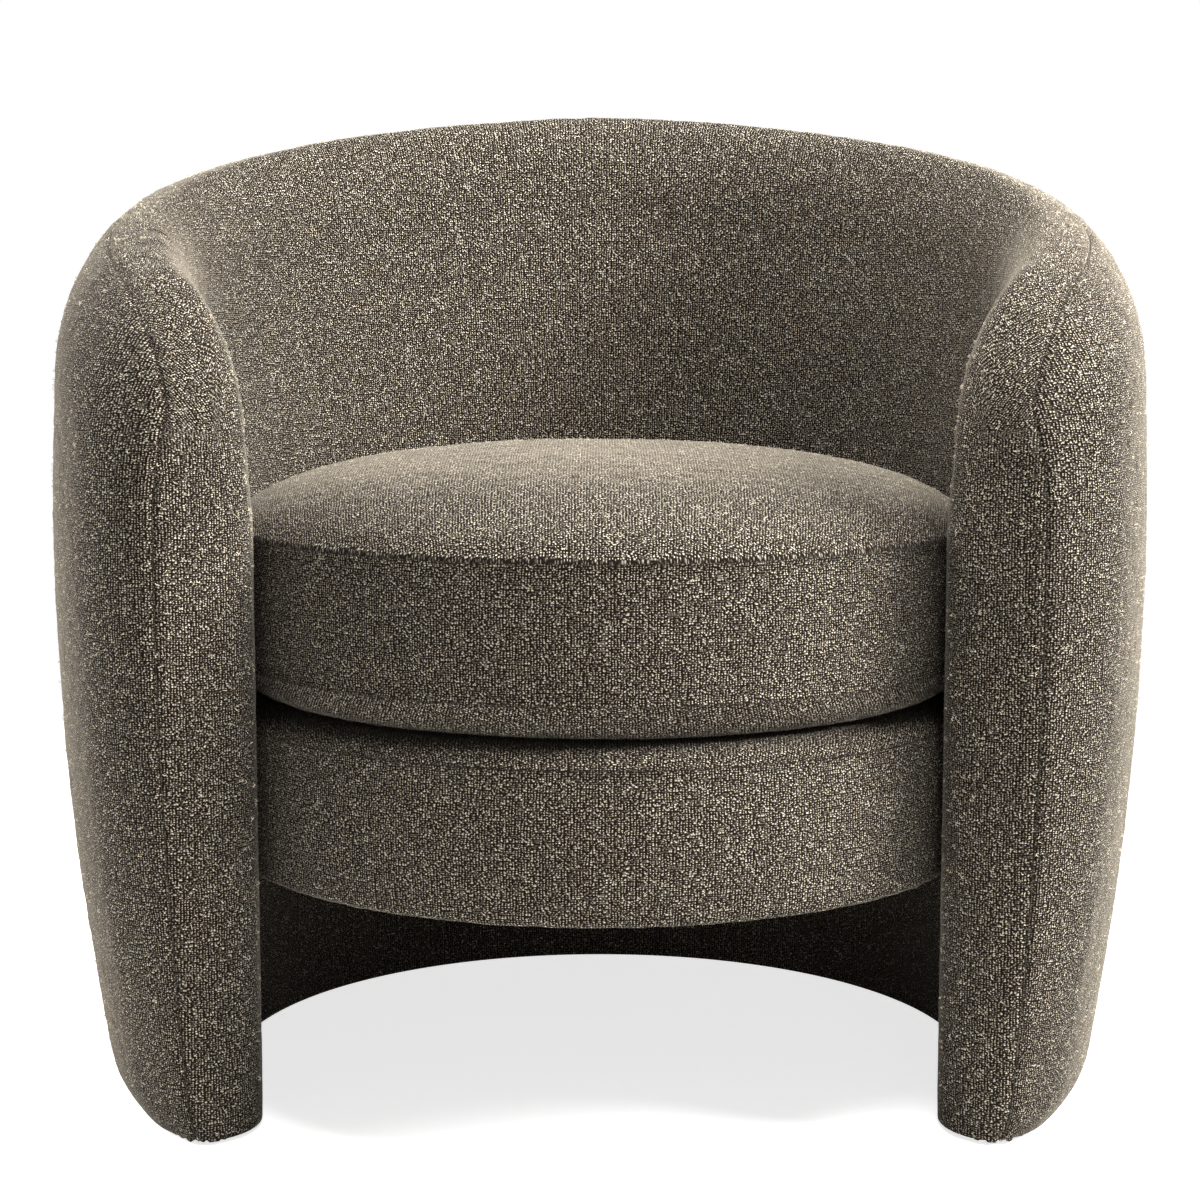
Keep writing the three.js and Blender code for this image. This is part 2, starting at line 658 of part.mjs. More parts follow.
// The seat drum: a bent hoop, stretchers, webbing, foam, a cover and a dust cover
function addDrum() {
  const drum = new THREE.Group();
  drum.name = "seat_drum";
  chair.add(drum);

  const round = drumRound;
  const outer = [
    [drumRadius - hemWidth, drumFloor],
    [drumRadius - coverThickness * 2, drumFloor],
    [drumRadius, drumFloor + coverThickness * 2],
    [drumRadius + drumBulge, lerp(drumFloor, drumSeam, 1 / 2)],
    [drumRadius, drumSeam - seamLip * 2],
    [drumRadius + seamLip, drumSeam],
    [drumRadius - seamLip, drumSeam + seamLip * 2],
    [drumRadius - round / 3, lerp(drumSeam, deckHeight, 2 / 3)],
    [drumRadius - round, deckHeight],
    [0, deckHeight],
  ];
  const inner = [
    [0, deckHeight - coverThickness],
    [drumRadius - round - coverThickness / 2, deckHeight - coverThickness],
    [drumRadius - round / 2 - coverThickness, lerp(drumSeam, deckHeight, 1 / 2) - coverThickness],
    [drumRadius - coverThickness, drumSeam - coverThickness],
    [drumRadius + drumBulge - coverThickness, lerp(drumFloor, drumSeam, 1 / 2)],
    [drumRadius - coverThickness, drumFloor + coverThickness],
    [drumRadius - hemWidth, drumFloor + coverThickness],
    outer[0],
  ];
  place("base_cover", cut(turned([...outer, ...inner]), ...boltCutters), boucle, drum);

  const bandTop = strapCentre + weaveLift + strapThickness / 2;
  place("band_foam", cut(ring(hoopOuter + fit, bandOuter, hoopFoot, bandTop), ...boltCutters), foam, drum);
  const deck = [
    [0, deckUnderside],
    [bandOuter, deckUnderside],
    [bandOuter, drumSeam - coverThickness - fit],
    [drumRadius - round / 2 - coverThickness * 2, lerp(drumSeam, deckHeight, 1 / 2) - coverThickness - fit],
    [drumRadius - round - coverThickness, deckHeight - coverThickness - fit],
    [0, deckHeight - coverThickness - fit],
  ];
  place("deck_foam", turned(deck), foam, drum);

  // The stretchers drop into housings in the hoop
  const stretcherTop = hoopTop - stretcherDrop;
  const stretchers = [["stretcher_left", -stretcherOffset], ["stretcher_right", stretcherOffset]];
  const bar = (x, clearance, reach) => {
    const low = stretcherTop - stretcherHeight - clearance;
    const high = clearance ? hoopTop + overrun : stretcherTop;
    const box = new THREE.BoxGeometry(stretcherThickness + 2 * clearance, 2 * hoopOuter, high - low);
    box.translate(x, 0, (low + high) / 2);
    return common(box, ring(0, reach, low - overrun, high + overrun));
  };
  const housings = stretchers.map(([, x]) => bar(x, fit, hoopInner + housingDepth));
  const hoop = ring(hoopInner, hoopOuter, hoopFoot, hoopTop);
  place("seat_hoop", cut(hoop, ...boltCutters, ...housings), plywood, drum);
  for (const [name, x] of stretchers) {
    place(name, bar(x, 0, hoopInner + housingDepth - fit), plywood, drum);
  }

  const dustTop = drumFloor - fit;
  const dust = [[0, dustTop - dustThickness], [drumRadius - dustInset, dustTop - dustThickness]];
  dust.push([drumRadius - dustInset, dustTop], [0, dustTop]);
  place("dust_cover", turned(dust), cambric, drum);
  addWebbing(drum);
  addBolts(drum);
}

// Straps pass over and under those that cross them, and their ends lie on the hoop.
function addWebbing(drum) {
  const pitch = hoopOuter * strapPitchShare;
  const first = (-pitch * (strapsEachWay - 1)) / 2;
  const reach = hoopOuter - strapInset;
  for (let n = 0; n < strapsEachWay; n++) {
    const offset = first + n * pitch;
    const half = Math.sqrt(reach ** 2 - (Math.abs(offset) + strapWidth / 2) ** 2);
    for (const [name, turn] of [["web_long", 0], ["web_cross", 1]]) {
      const line = [[-half, -weaveLift]];
      for (let m = 0; m < strapsEachWay; m++) {
        const middle = first + m * pitch;
        const lift = (n + m + turn) % 2 ? weaveLift : -weaveLift;
        if (Math.abs(middle) + strapWidth / 2 > half) continue;
        line.push([middle - strapWidth / 2, lift], [middle + strapWidth / 2, lift]);
      }
      line.push([half, -weaveLift]);
      const shape = new THREE.Shape();
      line.forEach(([x, z], i) => {
        if (i) shape.lineTo(x, z + strapThickness / 2);
        else shape.moveTo(x, z + strapThickness / 2);
      });
      [...line].reverse().forEach(([x, z]) => shape.lineTo(x, z - strapThickness / 2));
      const geometry = new THREE.ExtrudeGeometry(shape, { depth: strapWidth, bevelEnabled: false });
      geometry.translate(0, 0, -strapWidth / 2);
      geometry.rotateX(Math.PI / 2);
      const strap = place(`${name}_${n + 1}`, geometry, webbing, drum);
      if (turn) strap.position.set(0, offset, strapCentre);
      else strap.position.set(offset, 0, strapCentre);
      if (!turn) strap.rotation.z = Math.PI / 2;
    }
  }
}

// Flanged hex bolts from inside the hoop into tee nuts behind the seat rail
function addBolts(drum) {
  const apothem = Math.cos(Math.PI / facets);
  const headFace = hoopInner * apothem - fit;
  const nutFace = seatRailOuter * apothem;
  const boltEnd = nutFace + teeFlangeThickness;
  const head = new THREE.CylinderGeometry(boltHeadRadius, boltHeadRadius, boltHeadHeight, 6);
  head.translate(0, headFace - boltFlangeThickness - boltHeadHeight / 2, 0);
  const flange = new THREE.CylinderGeometry(boltFlange, boltFlange, boltFlangeThickness, smallFacets);
  flange.translate(0, headFace - boltFlangeThickness / 2, 0);
  const shank = new THREE.CylinderGeometry(boltRadius, boltRadius, boltEnd - headFace, smallFacets);
  shank.translate(0, (boltEnd + headFace) / 2, 0);
  const bolt = geometryOf(solidOf(head).add(solidOf(flange)).add(solidOf(shank)));

  const bore = boltRadius + fit;
  const barrelFoot = nutFace + fit - teeBarrelLength;
  const tee = [
    [bore, barrelFoot],
    [teeOuter, barrelFoot],
    [teeOuter, nutFace + fit],
    [teeFlange, nutFace + fit],
    [teeFlange, nutFace + fit + teeFlangeThickness],
    [bore, nutFace + fit + teeFlangeThickness],
    [bore, barrelFoot],
  ];
  const nut = turned(tee, smallFacets).rotateX(-Math.PI / 2);
  boltAngles.forEach((angle, n) => {
    for (const [name, geometry] of [["hoop_bolt", bolt], ["tee_nut", nut]]) {
      const piece = place(`${name}_${n + 1}`, geometry, steel, drum);
      piece.position.z = boltHeight;
      piece.rotation.z = -rad(angle);
    }
  });
}

// The loose cushion: a crowned box cushion with sewn seams and a zip in the back of its boxing
function addCushion() {
  const cushion = new THREE.Group();
  cushion.name = "cushion";
  chair.add(cushion);

  const radius = tubRadius - cushionGap;
  const seamRadius = radius - boxingBulge;
  const foot = deckHeight + fit;
  const lowSeam = foot + cushionBottomRise;
  const highSeam = lowSeam + cushionSide;
  const flat = radius * bottomFlatShare;
  const profileOf = (inset) => {
    const bottomRound = [1 / 3, 2 / 3].map((share) => {
      const turn = (Math.PI / 2) * share;
      const reach = seamRadius - inset - flat;
      return [flat + reach * Math.sin(turn), lerp(foot + inset, lowSeam, 1 - Math.cos(turn))];
    });
    const lip = inset ? 0 : seamLip;
    const bulge = [1 / 5, 1 / 2, 4 / 5].map((share) => [
      seamRadius - inset + boxingBulge * Math.sin(Math.PI * share),
      lerp(lowSeam, highSeam, share),
    ]);
    const crown = [0.08, 0.28, 0.52, 0.78].map((share) => {
      const turn = (Math.PI / 2) * share;
      const r = (seamRadius - inset) * Math.cos(turn) ** 0.7;
      return [r, lerp(highSeam, highSeam + cushionCrown - inset, Math.sin(turn) ** 1.15)];
    });
    return [
      [0, foot + inset],
      [flat, foot + inset],
      ...bottomRound,
      [seamRadius - inset + lip, lowSeam],
      ...bulge,
      [seamRadius - inset + lip, highSeam],
      ...crown,
      [0, highSeam + cushionCrown - inset],
    ];
  };
  const zipHeight = lerp(lowSeam, highSeam, 1 / 2);
  const zipEnd = zipHalfAngle;
  const arc = (inner, outer, low, high, end) => {
    const half = [];
    for (let angle = 0; angle < end; angle += facetAngle) half.push(angle);
    const outline = [[inner, low], [outer, low], [outer, high], [inner, high]];
    return loft(bothSides([...half, end]).map((angle) => ({ angle, outline })));
  };
  const slot = arc(
    radius - overrun,
    radius + overrun,
    zipHeight - zipSlot / 2,
    zipHeight + zipSlot / 2,
    zipEnd,
  );
  const skin = cut(turned(profileOf(0)), turned(profileOf(coverThickness)));
  place("cushion_cover", cut(skin, slot), boucle, cushion);

  // The zip's tape lies behind the cover and its coil shows in the slot
  const tapeFace = radius - coverThickness - 2 * fit;
  const tapeBack = tapeFace - zipTape;
  const coilFace = tapeFace + zipCoil - fit;
  const fill = turned(profileOf(coverThickness + fit));
  const room = arc(
    tapeBack - fit,
    radius + overrun,
    zipHeight - zipTapeWidth / 2 - fit,
    zipHeight + zipTapeWidth / 2 + fit,
    zipEnd + facetAngle / 3,
  );
  place("cushion_foam", cut(fill, room), foam, cushion);
  const tape = arc(tapeBack, tapeFace, zipHeight - zipTapeWidth / 2, zipHeight + zipTapeWidth / 2, zipEnd);
  const coilInset = fit / radius / (Math.PI / 180);
  const coil = arc(
    tapeFace - zipTape / 2,
    coilFace,
    zipHeight - zipSlot / 2 + fit,
    zipHeight + zipSlot / 2 - fit,
    zipEnd - coilInset,
  );
  place("cushion_zip", geometryOf(solidOf(tape).add(solidOf(coil))), nylon, cushion);

  const slider = new THREE.BoxGeometry(sliderLength, sliderThickness, zipSlot - 4 * fit);
  slider.translate(0, coilFace + fit + sliderThickness / 2, 0);
  const pull = new THREE.BoxGeometry(pullWidth, pullThickness, pullLength);
  const pullFace = Math.max(radius + fit, coilFace + fit + sliderThickness - pullThickness);
  pull.translate(0, pullFace + pullThickness / 2, -pullLength / 2);
  const stem = new THREE.BoxGeometry(pullWidth, sliderThickness / 2, zipSlot / 2);
  stem.translate(0, coilFace + fit + sliderThickness * 0.75, 0);
  const whole = solidOf(slider).add(solidOf(pull)).add(solidOf(stem));
  const zipSlider = place("zip_slider", geometryOf(whole), steel, cushion);
  zipSlider.position.z = zipHeight;
  zipSlider.rotation.z = -rad(zipEnd - zipRestInset - (sliderLength / 2 / radius) * (180 / Math.PI));
}

addCovers();
addFoam();
addBoards();
addFrame();
addDrum();
addCushion();

// The origin lies on the floor under the middle of the chair
const middle = new THREE.Box3().setFromObject(chair).getCenter(new THREE.Vector3());
for (const piece of chair.children) piece.position.y -= middle.y;

export default chair;
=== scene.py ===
# %% [markdown]
# # Dressing a round tub chair
# The chair is a padded wall bent round a round seat. It was built in layers: a plywood frame, boards,
# foam, and last of all the covers that show. The solids arrive already packed, in metres and in place,
# so this lesson has one job: to give each piece the form and finish that an upholsterer gives it.
# We load the solids first, and keep the box round them to check our own work against later.

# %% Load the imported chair
import math
import bmesh
import bpy
import numpy as np
from mathutils import Matrix, Vector


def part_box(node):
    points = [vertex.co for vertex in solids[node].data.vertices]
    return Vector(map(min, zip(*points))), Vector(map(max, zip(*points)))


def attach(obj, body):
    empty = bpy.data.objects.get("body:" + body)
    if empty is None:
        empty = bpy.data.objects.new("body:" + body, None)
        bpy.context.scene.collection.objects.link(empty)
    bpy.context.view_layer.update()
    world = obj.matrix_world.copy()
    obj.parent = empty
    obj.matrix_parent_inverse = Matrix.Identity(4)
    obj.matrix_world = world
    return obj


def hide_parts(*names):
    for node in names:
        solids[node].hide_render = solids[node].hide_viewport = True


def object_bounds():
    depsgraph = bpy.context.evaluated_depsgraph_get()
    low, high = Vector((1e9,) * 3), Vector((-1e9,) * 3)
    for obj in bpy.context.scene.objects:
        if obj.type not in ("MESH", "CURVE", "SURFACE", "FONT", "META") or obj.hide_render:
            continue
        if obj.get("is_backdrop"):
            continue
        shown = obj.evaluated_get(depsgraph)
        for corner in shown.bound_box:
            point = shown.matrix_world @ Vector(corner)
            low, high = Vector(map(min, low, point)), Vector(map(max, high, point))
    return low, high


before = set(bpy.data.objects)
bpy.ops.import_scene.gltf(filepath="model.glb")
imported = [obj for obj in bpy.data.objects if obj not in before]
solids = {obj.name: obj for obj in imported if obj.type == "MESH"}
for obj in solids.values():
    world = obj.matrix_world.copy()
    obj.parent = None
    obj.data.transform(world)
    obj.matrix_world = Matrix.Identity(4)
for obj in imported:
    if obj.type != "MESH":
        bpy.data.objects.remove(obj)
solid_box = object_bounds()

# %% [markdown]
# ## The camera
# The photograph was taken from straight in front, a little above the seat, through a fairly long lens.
# The numbers come from fitting the circles of the seat, which all share one upright axis. A camera could
# also be aimed with a Track To constraint, but a fixed tilt repeats the measured view exactly.

# %% Camera
camera_data = bpy.data.cameras.new("studio_camera")
camera_data.lens = 78.87
camera_data.sensor_width = 36
camera_data.clip_end = 60
camera = bpy.data.objects.new("studio_camera", camera_data)
camera.location = (0, -2.0908, 0.6359)
camera.rotation_euler = (math.radians(82.414), 0, 0)
bpy.context.scene.collection.objects.link(camera)
bpy.context.scene.camera = camera
bpy.context.scene.view_settings.view_transform = "Standard"
print("camera at", tuple(camera.location), "lens", camera_data.lens)

# %% [markdown]
# ## The studio
# A white sweep would need a lot of light to look white, and that light would bleach the cloth. Here the
# world and the floor simply show white to the camera, and light the chair at a plain level. The floor
# keeps its own shading under that white near the chair, so the soft shadow stays on it. Further out it
# fades to plain white, which hides the horizon, and a camera below the floor sees straight through it.


# %% Colours
def srgb(r, g, b):
    """A colour picked on screen, 0 to 255, as the linear colour that nodes use."""
    steps = [c / 255 for c in (r, g, b)]
    linear = [c / 12.92 if c <= 0.04045 else ((c + 0.055) / 1.055) ** 2.4 for c in steps]
    return (*linear, 1)


print("screen grey 128 is", round(srgb(128, 128, 128)[0], 3), "in the light that nodes add up")


# %% Nodes by name
def set_or_link(tree, socket, value):
    """Links a socket to another one, or gives it a plain value."""
    if isinstance(value, bpy.types.NodeSocket):
        tree.links.new(value, socket)
    else:
        socket.default_value = value


def add_node(tree, kind, inputs=None, **settings):
    """A node with its settings, and its input sockets set or linked."""
    node = tree.nodes.new(kind)
    for key, value in settings.items():
        setattr(node, key, value)
    for key, value in (inputs or {}).items():
        set_or_link(tree, node.inputs[key], value)
    return node


# %% Short names for common nodes
def math_node(tree, operation, *values, clamp=False):
    inputs = dict(enumerate(values))
    return add_node(tree, "ShaderNodeMath", inputs, operation=operation, use_clamp=clamp).outputs[0]


def vector_node(tree, operation, a, b):
    return add_node(tree, "ShaderNodeVectorMath", {0: a, 1: b}, operation=operation).outputs[0]


def ramp_value(tree, value, low, high, to_low=0.0, to_high=1.0):
    """A value eased from one range to another."""
    inputs = {"Value": value, "From Min": low, "From Max": high, "To Min": to_low, "To Max": to_high}
    node = add_node(tree, "ShaderNodeMapRange", inputs, interpolation_type="SMOOTHSTEP")
    return node.outputs["Result"]


def mix_colour(tree, factor, a, b, blend="MIX"):
    node = add_node(tree, "ShaderNodeMix", data_type="RGBA", blend_type=blend)
    for socket, value in ((node.inputs[0], factor), (node.inputs[6], a), (node.inputs[7], b)):
        set_or_link(tree, socket, value)
    return node.outputs[2]


def mix_shader(tree, factor, a, b):
    return add_node(tree, "ShaderNodeMixShader", {0: factor, 1: a.outputs[0], 2: b.outputs[0]})


# %% White world
FILL_STRENGTH = 0.17
world = bpy.data.worlds.new("studio")
bpy.context.scene.world = world
world.use_nodes = True
tree = world.node_tree
tree.nodes.clear()
path = add_node(tree, "ShaderNodeLightPath")
soft_fill = add_node(tree, "ShaderNodeBackground", {"Color": (1, 0.99, 0.97, 1), "Strength": FILL_STRENGTH})
white = add_node(tree, "ShaderNodeBackground", {"Color": (1, 1, 1, 1), "Strength": 1.0})
seen = math_node(tree, "MAXIMUM", path.outputs["Is Camera Ray"], path.outputs["Is Glossy Ray"])
seen = math_node(tree, "MAXIMUM", seen, path.outputs["Is Transmission Ray"])
both = mix_shader(tree, seen, soft_fill, white)
add_node(tree, "ShaderNodeOutputWorld", {"Surface": both.outputs[0]})
print("world: white to the camera, fill", FILL_STRENGTH)

# %% Floor
FADE_START, FADE_END = 0.75, 1.9
bpy.ops.object.select_all(action="DESELECT")
bpy.ops.mesh.primitive_plane_add(size=24, location=(0, 0, 0))
floor = bpy.context.object
floor.name = "floor"
floor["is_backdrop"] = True
floor_look = bpy.data.materials.new("pale_floor")
floor_look.use_nodes = True
tree = floor_look.node_tree
tree.nodes.clear()
path = add_node(tree, "ShaderNodeLightPath")
paper = add_node(tree, "ShaderNodeBsdfDiffuse", {"Color": (0.80, 0.80, 0.79, 1)})
glow = add_node(tree, "ShaderNodeEmission", {"Color": (1, 1, 1, 1), "Strength": 0.75})
dark = add_node(tree, "ShaderNodeEmission", {"Strength": 0.0})
seen = math_node(tree, "MAXIMUM", path.outputs["Is Camera Ray"], path.outputs["Is Glossy Ray"])
lift = mix_shader(tree, seen, dark, glow)
near = add_node(tree, "ShaderNodeAddShader", {0: paper.outputs[0], 1: lift.outputs[0]})
place = add_node(tree, "ShaderNodeTexCoord")
from_chair = add_node(tree, "ShaderNodeVectorMath", {0: place.outputs["Object"]}, operation="LENGTH")
fade = math_node(tree, "MULTIPLY", seen, ramp_value(tree, from_chair.outputs["Value"], FADE_START, FADE_END))
open_white = add_node(tree, "ShaderNodeEmission", {"Color": (1, 1, 1, 1), "Strength": 1.0})
shaded = mix_shader(tree, fade, near, open_white)
side = add_node(tree, "ShaderNodeNewGeometry")
from_below = math_node(tree, "MULTIPLY", side.outputs["Backfacing"], path.outputs["Is Camera Ray"])
clear = add_node(tree, "ShaderNodeBsdfTransparent")
shaded = mix_shader(tree, from_below, shaded, clear)
add_node(tree, "ShaderNodeOutputMaterial", {"Surface": shaded.outputs[0]})
floor.data.materials.append(floor_look)
print("floor: keeps its shadow up to", FADE_START, "m from the chair, plain white from", FADE_END, "m")

# %% [markdown]
# ## Lamps
# In the photograph the tops and the faces turned to the right are bright, the faces turned to the left
# are a step darker, and whatever faces the camera is darkest. So the strongest lamps are a panel above and
# a panel to the right, a weaker one stands to the left, and only a faint one, set low, fills the front and
# reaches under the seat. Round lamps of about a metre give shadows as soft as a studio's.


# %% Lamps
def hang_lamp(name, place, target, size, power):
    lamp = bpy.data.lights.new(name, "AREA")
    lamp.shape, lamp.size, lamp.energy = "DISK", size, power
    lamp_object = bpy.data.objects.new(name, lamp)
    lamp_object.location = place
    lamp_object.rotation_euler = (Vector(target) - Vector(place)).to_track_quat("-Z", "Y").to_euler()
    bpy.context.scene.collection.objects.link(lamp_object)


CHAIR_MIDDLE, CHAIR_LOW = (0, 0, 0.4), (0, 0, 0.3)
hang_lamp("overhead_panel", (0.45, -0.35, 2.35), CHAIR_MIDDLE, 1.4, 130)
hang_lamp("right_panel", (2.1, -0.55, 1.75), CHAIR_MIDDLE, 1.1, 182)
hang_lamp("left_panel", (-2.2, 0.35, 1.4), CHAIR_MIDDLE, 1.1, 86)
hang_lamp("front_fill", (0.5, -3.0, 0.55), CHAIR_LOW, 0.9, 6)

# %% [markdown]
# ## The cloth: a looped pile
# The covers are a boucle: a knit of thick and thin yarn whose small loops stand up in rows. From a metre
# away one sees light loops over dark gaps, upright rows a few millimetres apart, and here and there a
# bigger curl. Modelling millions of loops would be far too heavy, so one node group draws them: rounded
# cells for the loops, a wave for the rows, and a distorted noise for the curls. It reads the piece's own
# cloth map, in metres, so the loops have one size on every piece and turn with the surface. The group
# gives colour and height, and each material feeds them to its own shader. As no loop casts a shadow, the
# colour holds painted light and shade: the high loops are painted light, the low gaps dark with painted
# shade.


# %% Group helpers
COLOUR, FLOAT, VECTOR = "NodeSocketColor", "NodeSocketFloat", "NodeSocketVector"


def new_group(name, inputs, outputs):
    """An empty node group with its sockets, and the nodes that stand for them inside it."""
    group = bpy.data.node_groups.new(name, "ShaderNodeTree")
    for title, kind, value in inputs:
        socket = group.interface.new_socket(title, in_out="INPUT", socket_type=kind)
        if value is not None:
            socket.default_value = value
    for title, kind in outputs:
        group.interface.new_socket(title, in_out="OUTPUT", socket_type=kind)
    return group, group.nodes.new("NodeGroupInput"), group.nodes.new("NodeGroupOutput")


def noise(tree, place, scale, detail, distortion=0.0, flat=False):
    """Cloudy noise. The flat kind varies over a cloth map, the other one through space."""
    inputs = {"Vector": place, "Scale": scale, "Detail": detail, "Distortion": distortion}
    return add_node(tree, "ShaderNodeTexNoise", inputs, noise_dimensions="2D" if flat else "3D")


# %% Loop pile: the loops in their rows
loop_pile, given, result = new_group(
    "loop_pile",
    [
        ("Cloth", VECTOR, None),
        ("Row Pitch", FLOAT, 0.0021),
        ("Loop Length", FLOAT, 0.0016),
        ("Hidden Gaps", FLOAT, 0.0),
        ("Gap Shade Colour", COLOUR, srgb(20, 12, 5)),
        ("Loop Colour", COLOUR, srgb(233, 219, 195)),
        ("Fleck Colour", COLOUR, srgb(243, 234, 214)),
    ],
    [("Colour", COLOUR), ("Height", FLOAT)],
)
tree, cloth = loop_pile, given.outputs["Cloth"]
# Rows of a knit aren't ruler straight: they stray to and fro within ROW_STRAY, in metres.
ROW_STRAY = 0.0016
wander = noise(tree, cloth, 90, 2.0, flat=True)
centred = vector_node(tree, "SUBTRACT", wander.outputs["Color"], (0.5, 0.5, 0.5))
stray = add_node(tree, "ShaderNodeVectorMath", {0: centred, "Scale": ROW_STRAY}, operation="SCALE")
moved = vector_node(tree, "ADD", cloth, stray.outputs[0])
axes = add_node(tree, "ShaderNodeSeparateXYZ", {0: moved})
across = math_node(tree, "DIVIDE", axes.outputs["X"], given.outputs["Row Pitch"])
along = math_node(tree, "DIVIDE", axes.outputs["Y"], given.outputs["Loop Length"])
cell_place = add_node(tree, "ShaderNodeCombineXYZ", {"X": across, "Y": along})
cells = add_node(
    tree,
    "ShaderNodeTexVoronoi",
    {"Vector": cell_place.outputs[0], "Scale": 1.0, "Randomness": 0.62},
    voronoi_dimensions="2D",
)
loops = ramp_value(tree, cells.outputs["Distance"], 0.52, 0.12)
wave = math_node(tree, "COSINE", math_node(tree, "MULTIPLY", across, 2 * math.pi))
rows = ramp_value(tree, wave, -1.0, 0.3, 0.20, 1.0)
print("loop pile so far:", len(tree.nodes), "nodes")

# %% Loop pile: curls and height
# Curls are thin lines where a noise crosses its middle value, kept to scattered patches of the cloth.
curl_noise = noise(tree, cloth, 330, 1.0, distortion=1.2, flat=True)
ridge = math_node(tree, "ABSOLUTE", math_node(tree, "SUBTRACT", curl_noise.outputs[0], 0.5))
curls = ramp_value(tree, ridge, 0.060, 0.0)
patches = noise(tree, cloth, 150, 1.0, flat=True)
curl_mask = ramp_value(tree, patches.outputs[0], 0.56, 0.66)
height = math_node(
    tree,
    "MAXIMUM",
    math_node(tree, "MULTIPLY", loops, rows),
    math_node(tree, "MULTIPLY", curls, math_node(tree, "MULTIPLY", curl_mask, 0.5)),
)
tree.links.new(height, result.inputs["Height"])
print("with its curls:", len(tree.nodes), "nodes")

# %% Loop pile: colour
# Painted light and shade: high places are painted light, as if the loops catch the lamp, and low places take
# the gap colour as painted shade. Each loop also has its own tone, one in a few is a pale fleck, and the dye
# varies slowly over the cloth. Seen at a slant, loops hide the gaps, so less of the painted shade shows.
chance = add_node(tree, "ShaderNodeSeparateColor", {0: cells.outputs["Color"]})
each = ramp_value(tree, chance.outputs[0], 0.0, 1.0, 0.52, 1.28)
shade = math_node(tree, "MULTIPLY", math_node(tree, "POWER", height, 2.3), each, clamp=True)
lifted = math_node(tree, "MAXIMUM", shade, 0.55)
slanted = {0: given.outputs["Hidden Gaps"], 2: shade, 3: lifted}
shade = add_node(tree, "ShaderNodeMix", slanted, data_type="FLOAT")
cloth_colour = mix_colour(tree, shade.outputs[0], given.outputs["Gap Shade Colour"], given.outputs["Loop Colour"])
fleck = math_node(tree, "MULTIPLY", ramp_value(tree, chance.outputs[1], 0.84, 0.92), loops)
fleck = math_node(tree, "MULTIPLY", fleck, 0.60)
cloth_colour = mix_colour(tree, fleck, cloth_colour, given.outputs["Fleck Colour"])
dye = noise(tree, cloth, 7, 3.0, flat=True)
uneven = ramp_value(tree, dye.outputs[0], 0.25, 0.75, 0.96, 1.04)
tint = add_node(tree, "ShaderNodeCombineColor", {0: uneven, 1: uneven, 2: uneven})
cloth_colour = mix_colour(tree, 1.0, cloth_colour, tint.outputs[0], blend="MULTIPLY")
tree.links.new(cloth_colour, result.inputs["Colour"])
print("loop pile:", len(tree.nodes), "nodes")


# %% Material helpers
def surface_material(name, roughness=0.8, metallic=0.0, **sockets):
    """A material with a Principled shader whose plain values are set on its own sockets."""
    look = bpy.data.materials.new(name)
    look.use_nodes = True
    shader = look.node_tree.nodes["Principled BSDF"]
    shader.inputs["Roughness"].default_value = roughness
    shader.inputs["Metallic"].default_value = metallic
    for title, value in sockets.items():
        shader.inputs[title.replace("_", " ")].default_value = value
    return look, look.node_tree, shader


def use_group(tree, group, inputs):
    node = tree.nodes.new("ShaderNodeGroup")
    node.node_tree = group
    for title, value in inputs.items():
        set_or_link(tree, node.inputs[title], value)
    return node


def bump(tree, shader, height, distance, strength=1.0):
    node = add_node(tree, "ShaderNodeBump", {"Height": height, "Distance": distance, "Strength": strength})
    tree.links.new(node.outputs[0], shader.inputs["Normal"])


# %% Boucle
boucle, tree, shader = surface_material("boucle_cover", 0.95, Sheen_Weight=0.03, Sheen_Roughness=0.45)
shader.inputs["Specular IOR Level"].default_value = 0.08
cloth_map = add_node(tree, "ShaderNodeUVMap", uv_map="cloth")
# At a slant the loops hide the gaps, so less of the pile's painted gap shade is shown there.
slant = add_node(tree, "ShaderNodeLayerWeight", {"Blend": 0.5})
hidden = ramp_value(tree, slant.outputs["Facing"], 0.64, 1.0, 0.0, 0.26)
pile = use_group(tree, loop_pile, {"Cloth": cloth_map.outputs[0], "Hidden Gaps": hidden})
# A plain seam is painted with a dark thread of shadow over its real groove. The cover's mesh says where it
# runs.
seam_shadow_field = add_node(tree, "ShaderNodeAttribute", attribute_name="seam_shadow_line")
seam_shadow_amount = math_node(tree, "MULTIPLY", seam_shadow_field.outputs["Fac"], 0.65)
cloth_colour = mix_colour(tree, seam_shadow_amount, pile.outputs["Colour"], srgb(24, 18, 12))
tree.links.new(cloth_colour, shader.inputs["Base Color"])
bump(tree, shader, pile.outputs["Height"], 0.0020)
print("cloth groups:", [g.name for g in bpy.data.node_groups])

# %% [markdown]
# ## Sewing grids into a cover
# A cover is a few panels of cloth. Each panel here is a grid of points with a place on the cloth in metres,
# so that the pattern follows it, and panels that share an edge are merged there, which closes the seam.
# One mesh could also be cut out of the solids and unwrapped, but the pattern would then run across seams.
# The helpers here join the grids, read and move points, and give the smooth noise of a padded face, which
# is never quite even. The last one puts a finished piece on its body and hides the solids it stands for.


# %% Panels and sewing
NO_SEAM = {"seam": 9.0, "along": 0.0}
SEWN_DISTANCE = 4e-6


def cloth_panel(points, cloth, fields=None, turned=False):
    """A grid of points with its place on the cloth, and fields such as the distance to the seam."""
    return {"points": points, "map": cloth, "fields": fields or {}, "turned": turned}


def finish_mesh(name, mesh, look):
    """A smooth, linked object with its material."""
    mesh.polygons.foreach_set("use_smooth", [True] * len(mesh.polygons))
    mesh.materials.append(look)
    piece = bpy.data.objects.new(name, mesh)
    bpy.context.scene.collection.objects.link(piece)
    return piece


